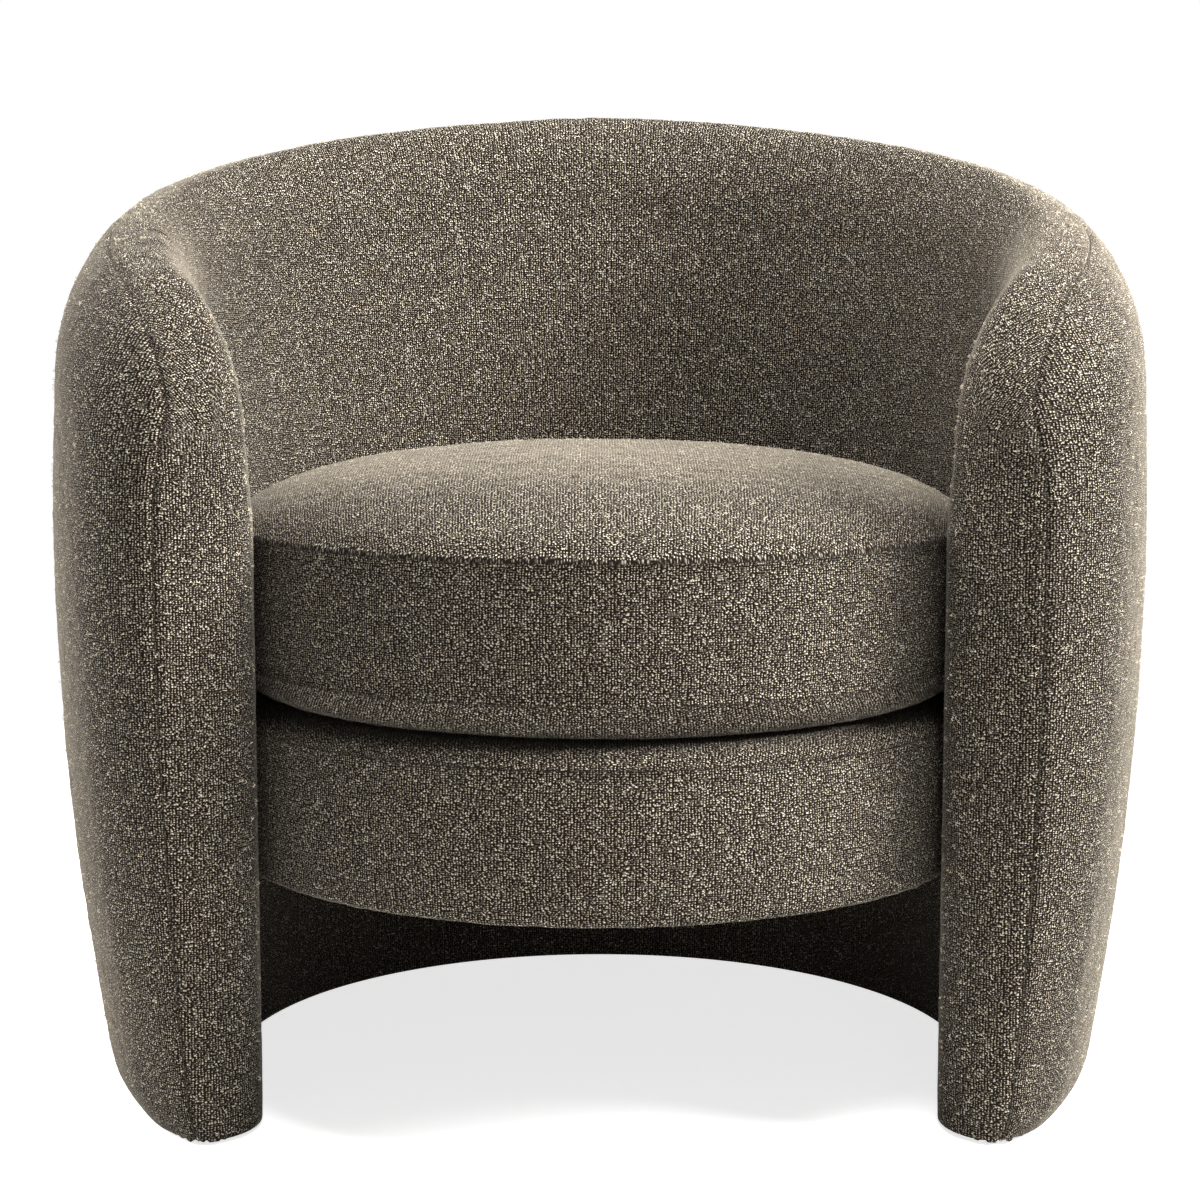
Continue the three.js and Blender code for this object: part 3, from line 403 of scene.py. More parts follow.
def sew(name, panels, look):
    """One mesh out of panels, merged where their edges meet."""
    points, maps, faces, fields, count = [], [], [], {}, 0
    for panel in panels:
        rows_in, columns_in = panel["points"].shape[:2]
        index = count + np.arange(rows_in * columns_in).reshape(rows_in, columns_in)
        quads = np.stack([index[:-1, :-1], index[:-1, 1:], index[1:, 1:], index[1:, :-1]], -1).reshape(-1, 4)
        faces.append(quads if panel["turned"] else quads[:, ::-1])
        points.append(panel["points"].reshape(-1, 3))
        maps.append(panel["map"].reshape(-1, 2))
        for title, values in panel["fields"].items():
            fields.setdefault(title, []).append(np.broadcast_to(values, (rows_in, columns_in)).ravel())
        count += rows_in * columns_in
    points, maps, faces = np.concatenate(points), np.concatenate(maps), np.concatenate(faces)
    mesh = bpy.data.meshes.new(name)
    mesh.from_pydata(points.tolist(), [], faces.tolist())
    corners = np.zeros(len(mesh.loops), int)
    mesh.loops.foreach_get("vertex_index", corners)
    mesh.uv_layers.new(name="cloth").data.foreach_set("uv", maps[corners].ravel())
    for title, values in fields.items():
        mesh.attributes.new(title, "FLOAT", "POINT").data.foreach_set("value", np.concatenate(values))
    work = bmesh.new()
    work.from_mesh(mesh)
    bmesh.ops.remove_doubles(work, verts=work.verts, dist=SEWN_DISTANCE)
    work.to_mesh(mesh)
    work.free()
    return finish_mesh(name, mesh, look)


# %% Reading and moving points
def read_vectors(items, title):
    values = np.zeros(len(items) * 3)
    items.foreach_get(title, values)
    return values.reshape(-1, 3)


def points_of(piece):
    return read_vectors(piece.data.vertices, "co")


def take_field(piece, title):
    """A field that sew() stored, taken off the mesh."""
    attribute = piece.data.attributes[title]
    values = np.zeros(len(piece.data.vertices))
    attribute.data.foreach_get("value", values)
    piece.data.attributes.remove(attribute)
    return values


def move_points(piece, places):
    piece.data.vertices.foreach_set("co", np.asarray(places, np.float32).ravel())
    piece.data.update()


# %% Unevenness and declaring
def soft_noise(points, size, seed):
    """Smooth noise whose lumps have about the given size. The same seed always gives the same lumps."""
    place = points / size
    base = np.floor(place)
    blend = place - base
    blend = blend * blend * (3 - 2 * blend)
    total = np.zeros(len(points))
    for corner in np.ndindex(2, 2, 2):
        at = base + corner
        chance = np.sin(at @ (127.1, 311.7, 74.7) + seed * 53.3) * 43758.5453
        weight = np.prod(np.where(corner, blend, 1 - blend), axis=1)
        total += weight * (2 * (chance - np.floor(chance)) - 1)
    return total


def declare(piece, body, slot, *nodes, fill=None):
    """The piece rides on a body and stands for solids, which are hidden. Its slot is not used."""
    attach(piece, body)
    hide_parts(*nodes)
    print(piece.name, "faces", len(piece.data.polygons), "stands for", nodes)


# %% [markdown]
# ## The padded wall
# The wall is the chair's arms and back in one. Its covers could be cut from the solids, but those have
# only a few dozen facets. The surface is simple enough to write down instead: a place on it is a distance
# round the wall and a height, and two formulas give how far the inner and the outer face lie from the
# middle of the tub. The crest falls from the back to the arms, the inner face leans back above the seat,
# the outer face bulges like a barrel, and both roll into the rim and round the arm fronts.

# %% Measures of the wall
drum_low, drum_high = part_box("base_cover")
AXIS_Y = (drum_low.y + drum_high.y) / 2
TUB_RADIUS, CREST_RADIUS, BELLY_RADIUS = 0.290, 0.340, 0.414
BACK_HEIGHT, ARM_DROP, DROP_EXPONENT = 0.751, 0.155, 1.7
BELLY_HEIGHT, BARREL_RADIUS = 0.415, 2.250
LEAN_START, LEAN_REACH = 0.440, 0.0327
INNER_ROLL, OUTER_ROLL, CORNER, FRONT = 0.085, 0.110, 0.085, 0.060
FRONT_POWER = 2.1
HALF_LENGTH = math.radians(128) * CREST_RADIUS
FOOT, FOOT_ROUND, FOOT_TUCK = 0.0036, 0.016, 0.7071
SEAM_DEPTH = 0.010
EASE_REACH = 0.008
print("axis of the tub at y", round(AXIS_Y, 5), "half its length round the crest", round(HALF_LENGTH, 4))


# %% Places on the tub
def ring_points(radius, angles, height, from_front=False):
    """Points round the tub's axis. The angles count from the back, or else from the front."""
    toward = -1 if from_front else 1
    x, y = radius * np.sin(angles), AXIS_Y + toward * radius * np.cos(angles)
    return np.stack(np.broadcast_arrays(x, y, height), -1)


def place_on_tub(points):
    """Distance from the tub's axis, angle from the back to either side, and height."""
    from_back = np.arctan2(np.abs(points[:, 0]), points[:, 1] - AXIS_Y)
    return np.hypot(points[:, 0], points[:, 1] - AXIS_Y), from_back, points[:, 2]


def distance_round(points):
    """Distance round the wall, from the middle of the back to either side."""
    return place_on_tub(points)[1] * CREST_RADIUS


arm_front = ring_points(CREST_RADIUS, HALF_LENGTH / CREST_RADIUS, 0.0)
print("right arm front at", arm_front.round(3), "which is", round(HALF_LENGTH, 3), "m round the wall")


# %% The rim
def crest_line(s):
    return BACK_HEIGHT - ARM_DROP * (np.abs(s) / HALF_LENGTH) ** DROP_EXPONENT


def crest_height(s):
    past = np.clip(CORNER - (HALF_LENGTH - np.abs(s)), 0, CORNER)
    return crest_line(s) - (CORNER - np.sqrt(CORNER**2 - past**2))


arm_rim = crest_height(HALF_LENGTH - CORNER)
print("rim height at the back", crest_height(0.0), "over the arms", round(arm_rim, 3))


# %% The two faces
def inner_profile(s, z):
    top = crest_height(s)
    start = top - INNER_ROLL
    lean = np.maximum(0, np.minimum(z, start) - LEAN_START) / (BACK_HEIGHT - LEAN_START)
    face = TUB_RADIUS + LEAN_REACH * lean
    q = np.clip((z - start) / INNER_ROLL, 0, 1)
    return CREST_RADIUS - (CREST_RADIUS - face) * np.sqrt(1 - q**2)


def outer_profile(s, z):
    top = crest_height(s)
    start = top - OUTER_ROLL
    low = FOOT + FOOT_ROUND
    height = np.maximum(np.minimum(z, start), low)
    tuck = np.maximum(0, low - z) * FOOT_TUCK
    face = BELLY_RADIUS - tuck - (height - BELLY_HEIGHT) ** 2 / (2 * BARREL_RADIUS)
    q = np.clip((z - start) / OUTER_ROLL, 0, 1)
    return CREST_RADIUS + (face - CREST_RADIUS) * np.sqrt(1 - q**2)


wall_here = outer_profile(0.0, BELLY_HEIGHT) - inner_profile(0.0, BELLY_HEIGHT)
print("the back is", round(wall_here, 3), "m thick where it bulges most")


# %% Points of the wall
def front_share(s):
    """How much of the wall's thickness is left near the arm front."""
    past = np.clip(1 - (HALF_LENGTH - np.abs(s)) / FRONT, 0, 1)
    return (1 - past**FRONT_POWER) ** (1 / FRONT_POWER)


def front_depth(share):
    """How far behind the arm front a share of the wall's thickness is reached."""
    return FRONT * (1 - (1 - share**FRONT_POWER) ** (1 / FRONT_POWER))


def on_wall(s, z, profile):
    """The point of a face at a distance round the wall and a height, eased over a centimetre of height."""
    reach = np.minimum(EASE_REACH, np.maximum(0, crest_height(s) - z) / 3)
    radius = sum(w / 16 * profile(s, z + k * reach) for k, w in ((-2, 1), (-1, 4), (0, 6), (1, 4), (2, 1)))
    radius = CREST_RADIUS + (radius - CREST_RADIUS) * front_share(s)
    return ring_points(radius, s / CREST_RADIUS, z)


print("half the thickness is left", round(front_depth(0.5), 4), "m behind an arm front")

# %% [markdown]
# ## A grid that follows the rim
# A plain grid would meet the rounded arm corners at a slant and give the seam a jagged edge. So the wall is
# laid out like a picture and its frame: rows run side by side along the rim and down both arm fronts, and
# a plain grid fills the middle. The rows are close together where the surface turns over the rim. The cloth
# map is laid out with them, from lengths measured along the curves that the cloth really follows.

# %% Layout of the wall
INNER_COLUMNS, OUTER_COLUMNS, SIDE_ROWS, CORNER_STEPS = 320, 372, 160, 22


def frame_rows(depths, top_columns):
    """Places along the rim, for rows at given depths inside it: distances round the wall, and heights."""
    depth = np.asarray(depths)[:, None]
    edge = HALF_LENGTH - depth
    climb = np.linspace(0, 1, SIDE_ROWS + 1)[None, :]
    side_s = edge + 0 * climb
    side_z = FOOT + (crest_line(edge) - CORNER - FOOT) * climb
    turn = np.linspace(math.pi / 2, 0, CORNER_STEPS + 1)[None, 1:]
    corner_s = HALF_LENGTH - CORNER + (CORNER - depth) * np.sin(turn)
    corner_z = crest_line(corner_s) - (CORNER - depth) * (1 - np.cos(turn)) - depth
    top_s = np.linspace(HALF_LENGTH - CORNER, 0, top_columns // 2 + 1)[None, 1:] + 0 * depth
    top_z = crest_line(top_s) - depth
    s = np.concatenate([side_s, corner_s, top_s], 1)
    z = np.concatenate([side_z, corner_z, top_z], 1)
    return np.concatenate([-s, s[:, -2::-1]], 1), np.concatenate([z, z[:, -2::-1]], 1)


def middle_rows(top_columns):
    """Places of the plain grid inside the frame."""
    s = np.linspace(-(HALF_LENGTH - CORNER), HALF_LENGTH - CORNER, top_columns // 2 * 2 + 1)[None, :]
    climb = np.linspace(0, 1, SIDE_ROWS + 1)[:, None]
    z = FOOT + (crest_line(s) - CORNER - FOOT) * climb
    return s + 0 * climb, z


def outward(s, z):
    """Which way the rim's edge faces at each place of its outermost row."""
    turn = np.clip((np.abs(s) - (HALF_LENGTH - CORNER)) / CORNER, 0, 1)
    turn = np.where(z < crest_line(s) - CORNER, 1.0, turn)
    return np.sign(s) * turn, np.sqrt(1 - turn**2)


print("columns round the rim: inside", frame_rows([0], INNER_COLUMNS)[0].shape[1])


# %% Lengths along the cloth
steps = np.linspace(0, 1, 400)


def arc_table(x, y):
    """Length along a curve up to each of its points."""
    return np.concatenate([[0], np.cumsum(np.hypot(np.diff(x), np.diff(y)))])


def roll_length(height, reach):
    turn = steps * math.pi / 2
    return arc_table(height * np.sin(turn), reach * np.cos(turn))


def front_length(reach):
    share = np.sin(steps * math.pi / 2)
    depth = front_depth(share)
    return depth, arc_table(depth, reach * share)


# %% Place on the cloth
def cloth_place(s, z, roll, reach, turned_radius):
    """Where a point of a face lies on its cloth, in metres."""
    q = np.clip((z - (crest_height(s) - roll)) / roll, 0, 1)
    rolled = np.interp(np.arcsin(q) / (math.pi / 2), steps, roll_length(roll, reach))
    up = np.minimum(z, crest_height(s) - roll) + rolled
    depth, length = front_length(reach)
    left = np.clip(HALF_LENGTH - np.abs(s), 0, FRONT)
    extra = length[-1] - np.interp(left, depth, length) - (FRONT - left)
    return np.stack([np.sign(s) * (np.abs(s) * turned_radius / CREST_RADIUS + extra), up], -1)


# %% Faces of the wall
INNER_FACE = {"profile": inner_profile, "roll": INNER_ROLL, "reach": 0.046, "turned_radius": 0.30}
OUTER_FACE = {"profile": outer_profile, "roll": OUTER_ROLL, "reach": 0.070, "turned_radius": 0.405}


def face_panel(places, face, turned=False):
    """A panel of the inner or the outer face, with its cloth map."""
    s, z = places
    cloth = cloth_place(s, z, face["roll"], face["reach"], face["turned_radius"])
    return cloth_panel(on_wall(s, z, face["profile"]), cloth, NO_SEAM, turned)


def distance_down(points):
    """Distance down each column of a grid from its first row."""
    gaps = np.linalg.norm(np.diff(points, axis=0), axis=2)
    return np.concatenate([np.zeros((1, points.shape[1])), np.cumsum(gaps, axis=0)])


def distance_along(points):
    """Distance along each row of a grid."""
    gaps = np.linalg.norm(np.diff(points, axis=1), axis=2)
    return np.concatenate([np.zeros((points.shape[0], 1)), np.cumsum(gaps, axis=1)], 1)


for title, face in (("inner", INNER_FACE), ("outer", OUTER_FACE)):
    print("cloth over the rim,", title, "half:", round(roll_length(face["roll"], face["reach"])[-1], 4), "m")


# %% [markdown]
# ## Edges and unevenness
# Every cover of a chair ends somewhere. Along the floor the cloth turns under the foot of the wall and is
# stapled there. Along a plain seam, stitched from behind, both cloths turn in: the four thicknesses lift
# the cloth in a low ridge, and the stitch draws a fine groove down its middle with small puckers beside it.
# Between the seams the foam gives slight waves, and the loops give the surface small tufts. Sculpting
# could make all this by hand, but the same few formulas treat every cover alike and repeat exactly.

# %% Hems
HEM_DEPTH, HEM_AT_FRONT = 0.018, 0.026
# Each row of the hem: share of its depth, height above the floor, length on the cloth
HEM_ROWS = ((0.03, 0.0030, 0.001), (0.12, 0.0026, 0.003), (0.45, 0.0025, 0.008), (1.0, 0.0027, 0.018))
MIDDLE_RADIUS, MIDDLE_END = 0.350, 0.050


def wall_middle(points):
    """The nearest places on the middle line of the wall, kept back from the arm fronts."""
    limit = (HALF_LENGTH - MIDDLE_END) / CREST_RADIUS
    angle = np.clip(np.arctan2(points[:, 0], points[:, 1] - AXIS_Y), -limit, limit)
    return ring_points(MIDDLE_RADIUS, angle, 0.0)


def hem_panel(edge_points, edge_map, turned=False):
    """The cloth turned in under the foot of the wall, from a row of points along its lower edge."""
    inward = wall_middle(edge_points) - edge_points
    inward[:, 2] = 0
    inward /= np.maximum(np.linalg.norm(inward, axis=1, keepdims=True), 1e-9)
    at_front = np.clip((distance_round(edge_points) - (HALF_LENGTH - 0.045)) / 0.025, 0, 1)
    rows_out, maps_out = [edge_points], [edge_map]
    for share, height, length in HEM_ROWS:
        row = edge_points + inward * (share * (HEM_DEPTH + HEM_AT_FRONT * at_front))[:, None]
        row[:, 2] = height
        rows_out.append(row)
        maps_out.append(edge_map - (0, length))
    return cloth_panel(np.stack(rows_out[::-1]), np.stack(maps_out[::-1]), NO_SEAM, turned)


print("hem:", HEM_DEPTH, "m deep, at the arm fronts", round(HEM_DEPTH + HEM_AT_FRONT, 3))


def lower_edge(key, frame_panel, middle_panel, strip_panel=None):
    """A face's points or cloth map along the floor, from the left arm front round to the right one."""
    left, right = frame_panel[key][:, 0], frame_panel[key][::-1, -1]
    row = [left, middle_panel[key][0, 1:-1], right]
    if strip_panel:
        row = [strip_panel[key][::-1, 0], left[1:], *row[1:], strip_panel[key][1:, -1]]
    return np.concatenate(row)


# %% Seams, waves and tufts
GROOVE_DEPTH, GROOVE_WIDTH, PUCKER = 0.0022, 0.0028, 0.00035
PILE_HEIGHT, TUFT = 0.0004, 0.00045
SEAM_SHADOW_WIDTH = 0.0009
RIDGE, RIDGE_AT_FRONT = 0.0012, 0.0026


def seam_groove(distance, along, seed):
    """How far a face sinks beside a plain seam, and its puckers."""
    fold = -GROOVE_DEPTH * np.exp(-((distance / GROOVE_WIDTH) ** 2))
    line = np.stack([along, 0 * along, 0 * along], -1)
    beat = soft_noise(line, 0.009, seed) + 0.6 * soft_noise(line, 0.021, seed + 1)
    return fold + PUCKER * beat * np.exp(-distance / 0.009) * (1 - np.exp(-distance / 0.002))


def upholster(piece, seed, calm_below, wave=0.0009, ridge=0.0, ridge_reach=0.036):
    """Gives a sewn face its pile, slight unevenness and seam. Low down, where pieces touch, it stays even."""
    places, normals = points_of(piece), read_vectors(piece.data.vertices, "normal")
    distance, along = take_field(piece, "seam"), take_field(piece, "along")
    calm = np.clip((places[:, 2] - calm_below) / 0.06, 0, 1) if calm_below else 1.0
    broad = 0.5 + 0.5 * soft_noise(places, 0.10, seed) + 0.3 * soft_noise(places, 0.045, seed + 1)
    tufts = soft_noise(places, 0.0085, seed + 2) + 0.8 * soft_noise(places, 0.0045, seed + 3)
    off_floor = np.clip((places[:, 2] - 0.004) / 0.02, 0, 1)
    tufts = TUFT * tufts * (0.25 + 0.75 * calm) * (1 - 0.8 * np.exp(-((distance / 0.005) ** 2)))
    lift = off_floor * (PILE_HEIGHT + tufts) + calm * wave * np.clip(broad, 0, 2)
    lift = lift + seam_groove(distance, along, seed + 4)
    lift = lift + ridge * np.clip(1 - distance / ridge_reach, 0, 1) ** 2
    move_points(piece, places + normals * lift[:, None])
    # Where the seam's painted shadow line falls, for the boucle material to darken.
    line = piece.data.attributes.new("seam_shadow_line", "FLOAT", "POINT")
    line.data.foreach_set("value", np.exp(-((distance / SEAM_SHADOW_WIDTH) ** 2)))
    print(piece.name, "stands out by", round(1000 * float(lift.max()), 1), "mm at most")


def seam_ridge(piece):
    """How far the wall's seam stands up: most on the arm fronts, where the cloth turns from face to side."""
    near_front = np.clip((distance_round(points_of(piece)) - (HALF_LENGTH - 0.09)) / 0.06, 0, 1)
    return RIDGE + RIDGE_AT_FRONT * near_front


# %% [markdown]
# ## Inside cover
# One piece of cloth lines the wall, rolls over the rim and round the arm fronts, and ends at a plain seam
# on the outer side, a finger's width past the edge. It could be one grid, but the rim and the strip behind
# it need finer rows than the plain face, so it is four panels: frame, middle, strip and hem.

# %% Rows of the inside cover
front_depths = [front_depth(share) for share in np.arange(0, 0.93, 0.07)]
roll_angles = np.arange(math.asin(1 - (front_depths[-1] + 0.004) / INNER_ROLL), 0, -0.050)
inner_depths = front_depths + [INNER_ROLL * (1 - math.sin(a)) for a in roll_angles] + [INNER_ROLL]
inner_frame = face_panel(frame_rows(inner_depths, INNER_COLUMNS), INNER_FACE)
inner_middle = face_panel(middle_rows(INNER_COLUMNS), INNER_FACE, turned=True)
print("rows over the rim:", len(inner_depths))

# %% The strip up to the seam
SEAM_ROWS = (0.0, 0.0003, 0.0007, 0.0013)
strip_depths = [front_depth(share) for share in np.arange(0, 0.51, 0.05)]
strip_depths += [SEAM_DEPTH - gap for gap in SEAM_ROWS[::-1]]
strip_s, strip_z = frame_rows(strip_depths, INNER_COLUMNS)
strip_points = on_wall(strip_s, strip_z, outer_profile)
past_edge = distance_down(strip_points)
way = np.stack(outward(strip_s[:1], strip_z[:1]), -1)
strip_map = inner_frame["map"][:1] + past_edge[..., None] * way
to_seam = {"seam": past_edge[-1:] - past_edge, "along": distance_along(strip_points)}
strip = cloth_panel(strip_points, strip_map, to_seam, turned=True)
print("seam lies", past_edge[-1].min().round(4), "to", past_edge[-1].max().round(4), "m past the edge")

# %% Sew the inside cover
edge, edge_map = (lower_edge(key, inner_frame, inner_middle, strip) for key in ("points", "map"))
hem = hem_panel(edge, edge_map, turned=True)
inside_cover = sew("wall_inside_cover", [inner_frame, inner_middle, strip, hem], boucle)
upholster(inside_cover, 3, 0.40, ridge=seam_ridge(inside_cover))
declare(inside_cover, "tub", "boucle", "inside_cover", fill=0.9)

# %% [markdown]
# ## Outside cover
# The panel round the outside is the wall's second cloth. It starts at the same seam, so it is laid out on
# the same rim rows, which keeps the two edges together all the way round.

# %% Outside cover
seam_turn = math.asin(1 - SEAM_DEPTH / OUTER_ROLL)
end_turn = math.asin(1 - CORNER / OUTER_ROLL)
outer_turns = np.arange(seam_turn - 0.055, end_turn + 0.02, -0.038)
outer_depths = [SEAM_DEPTH + gap for gap in SEAM_ROWS]
outer_depths += [OUTER_ROLL * (1 - math.sin(a)) for a in outer_turns] + [CORNER]
outer_frame = face_panel(frame_rows(outer_depths, OUTER_COLUMNS), OUTER_FACE, turned=True)
outer_frame["fields"] = {
    "seam": distance_down(outer_frame["points"]),
    "along": distance_along(outer_frame["points"]),
}
outer_middle = face_panel(middle_rows(OUTER_COLUMNS), OUTER_FACE)
edge, edge_map = (lower_edge(key, outer_frame, outer_middle) for key in ("points", "map"))
hem = hem_panel(edge, edge_map)
outside_cover = sew("wall_outside_cover", [outer_frame, outer_middle, hem], boucle)
upholster(outside_cover, 13, 0.0, ridge=seam_ridge(outside_cover))
declare(outside_cover, "tub", "boucle", "outside_cover", fill=0.9)

# %% [markdown]
# ## The loose cushion
# The cushion is a box cushion: a domed top panel, a straight band called the boxing, and a bottom panel,
# joined by two plain seams. Its dome comes from foam pushing against cloth that the seams hold back. That
# is what a cloth simulation does well: a coarse shell with its seams pinned is blown up from inside, and
# we read how far each point moved. The fine mesh is then written down from the pattern and given that
# movement, so its seams stay sharp and its cloth map stays true.

# %% Pattern of the cushion
CUSHION_RADIUS, CUSHION_SEAM, CUSHION_FLAT = 0.287, 0.285, 0.250
CUSHION_FOOT, LOW_SEAM, HIGH_SEAM, CROWN = 0.3023, 0.3303, 0.4273, 0.058
START_CROWN, CROWN_SPARE = 0.050, 0.0012
DOME_IN, DOME_UP = 0.7, 1.15


def cushion_profile(t, crown=CROWN):
    """Radius and height at a place on the pattern: 0 to 1 bottom, to 2 its edge, to 3 boxing, to 4 top."""
    t = np.asarray(t, float)
    edge = np.clip(t - 1, 0, 1) * math.pi / 2
    band = np.clip(t - 2, 0, 1)
    dome = np.clip(t - 3, 0, 1) * math.pi / 2
    radius = np.where(t < 1, CUSHION_FLAT * t, CUSHION_FLAT + (CUSHION_SEAM - CUSHION_FLAT) * np.sin(edge))
    radius = np.where(t > 2, CUSHION_SEAM + (CUSHION_RADIUS - CUSHION_SEAM) * np.sin(math.pi * band), radius)
    radius = np.where(t > 3, CUSHION_SEAM * np.maximum(np.cos(dome), 0) ** DOME_IN, radius)
    height = CUSHION_FOOT + (LOW_SEAM - CUSHION_FOOT) * (1 - np.cos(edge))
    height = height + (HIGH_SEAM - LOW_SEAM) * band + crown * np.sin(dome) ** DOME_UP
    return radius, height


def round_grid(t, angles, crown=CROWN):
    """Points of the cushion, by row of the pattern and by angle from the front."""
    radius, height = (v[:, None] for v in cushion_profile(t, crown))
    return ring_points(radius, angles, height, from_front=True)


print("cushion", 2 * CUSHION_RADIUS, "m across, its upper seam", round(HIGH_SEAM - CUSHION_FOOT, 3), "m up")

# %% Rows of the coarse shell
COARSE = 96
coarse_t = np.concatenate(
    [
        np.linspace(0, 1, 7),
        np.linspace(1, 2, 4)[1:],
        np.linspace(2, 3, 9)[1:],
        3 + np.linspace(0, 1, 19)[1:],
    ]
)
coarse_angles = np.linspace(-math.pi, math.pi, COARSE, endpoint=False)
seam_rows = [int(np.argmin(np.abs(coarse_t - t))) for t in (2, 3)]
held_rows = [i for i, t in enumerate(coarse_t) if t <= 1.01] + seam_rows
print("coarse shell:", len(coarse_t), "rings of", COARSE, "points, held at rows", held_rows)


# %% A shell of rings
def ring_shell(name, rows_grid):
    """An object out of rings whose end rows are poles, with the index of its inner points by ring."""
    count_rows, count = rows_grid.shape[:2]
    inner = rows_grid[1:-1].reshape(-1, 3)
    points = np.concatenate([inner, rows_grid[:1, 0], rows_grid[-1:, 0]])
    index = np.arange(len(inner)).reshape(count_rows - 2, count)
    after = np.roll(index, -1, axis=1)
    quads = np.stack([index[:-1], after[:-1], after[1:], index[1:]], -1).reshape(-1, 4)
    low, high = len(inner), len(inner) + 1
    caps = [(low, int(b), int(a)) for a, b in zip(index[0], after[0])]
    caps += [(high, int(a), int(b)) for a, b in zip(index[-1], after[-1])]
    mesh = bpy.data.meshes.new(name)
    mesh.from_pydata(points.tolist(), [], quads.tolist() + caps)
    shell = bpy.data.objects.new(name, mesh)
    bpy.context.scene.collection.objects.link(shell)
    return shell, points, index


# %% Blow it up
PRESSURE, MOST_MOVE, LAST_FRAME = 6.0, 0.022, 20


def blow_up(name, rows_grid, pinned_rows):
    """How far each point of a shell of rings moves when its cloth is inflated. Its bottom pole is pinned."""
    shell, points, index = ring_shell(name, rows_grid)
    low, high = index.size, index.size + 1
    pinned = [int(i) for row in pinned_rows if row > 0 for i in index[row - 1]]
    pins = shell.vertex_groups.new(name="pins")
    pins.add(pinned + [low], 1.0, "REPLACE")
    cloth = shell.modifiers.new("cloth", "CLOTH")
    cloth.settings.quality = 6
    cloth.settings.mass = 0.3
    cloth.settings.tension_stiffness = cloth.settings.compression_stiffness = 10
    cloth.settings.bending_stiffness = 4
    cloth.settings.use_pressure = True
    cloth.settings.uniform_pressure_force = PRESSURE
    cloth.settings.effector_weights.gravity = 0
    cloth.settings.vertex_group_mass = "pins"
    cloth.point_cache.frame_start, cloth.point_cache.frame_end = 1, LAST_FRAME
    for frame_number in range(1, LAST_FRAME + 1):
        bpy.context.scene.frame_set(frame_number)
    settled = shell.evaluated_get(bpy.context.evaluated_depsgraph_get()).data
    moved_by = read_vectors(settled.vertices, "co") - points
    bpy.context.scene.frame_set(1)
    bpy.data.objects.remove(shell)
    length = np.linalg.norm(moved_by, axis=1, keepdims=True)
    moved_by *= np.minimum(1, MOST_MOVE / np.maximum(length, 1e-9))
    grid = np.empty_like(rows_grid)
    grid[1:-1] = moved_by[:low].reshape(*index.shape, 3)
    grid[0], grid[-1] = moved_by[low], moved_by[high]
    print(name, "moved up to", round(float(length.max()), 4), "m")
    return grid


# %% Blow up the cushion
start_crown = START_CROWN
cushion_moves = blow_up("cushion_shell", round_grid(coarse_t, coarse_angles, START_CROWN), held_rows)
cushion_moves *= (CROWN + CROWN_SPARE - START_CROWN) / cushion_moves[-1, 0, 2]
print("crown rises by", round(1000 * float(cushion_moves[-1, 0, 2]), 1), "mm")

# %% Rows of the fine cover
FINE = 448
fine_angles = np.linspace(-math.pi, math.pi, FINE + 1)
BESIDE_SEAM, NEAREST_ROW = (0.0, 0.0007, 0.0015, 0.0026), 0.004


def near_seam(length, count, seam_first, seam_last):
    """Rows of a panel in metres along it, closer together beside its seams."""
    rows_at = list(np.linspace(0, length, count + 1)[1:-1])
    if seam_first:
        rows_at = [r for r in rows_at if r > NEAREST_ROW]
    if seam_last:
        rows_at = [r for r in rows_at if length - r > NEAREST_ROW]
    first = list(BESIDE_SEAM) if seam_first else [0]
    last = [length - c for c in BESIDE_SEAM] if seam_last else [length]
    return np.array(sorted(first + rows_at + last))


def along_profile(t_low, t_high, spacing, seams, extra=()):
    """Rows between two places on the pattern, with their distance along the cloth."""
    dense = np.linspace(t_low, t_high, 800)
    length = arc_table(*cushion_profile(dense))
    at = near_seam(length[-1], round(length[-1] / spacing), *seams)
    at = np.array(sorted(set(at) | set(extra)))
    return np.interp(at, length, dense), at, length[-1]


print("fine cover:", FINE, "columns,", round(2000 * math.pi * CUSHION_RADIUS / FINE, 1), "mm apart")


# %% Read the movement at finer places
def read_grid(grid, grid_t, t, angles):
    """Values of a coarse grid of rings at finer places."""
    count = grid.shape[1]
    place = (angles + math.pi) / (2 * math.pi) * count
    left = np.floor(place).astype(int)
    share = (place - left)[None, :, None]
    ringed = grid[:, left % count] * (1 - share) + grid[:, (left + 1) % count] * share
    flat = ringed.reshape(len(grid_t), -1)
    return np.stack([np.interp(t, grid_t, column) for column in flat.T], 1).reshape(len(t), len(angles), 3)


# %% The cushion's surface
BOXING_SPARE, FRONT_SWELL, FOAM_SPARE = 0.0003, 0.0035, 0.0004
FREE_ANGLE = math.radians(50)


def in_front(angles, half_angle, blend):
    """1 in front, where the arms leave the seat free, easing to 0 inside the wall."""
    return np.clip((np.cos(angles) - math.cos(half_angle)) / blend, 0, 1)[None, :]


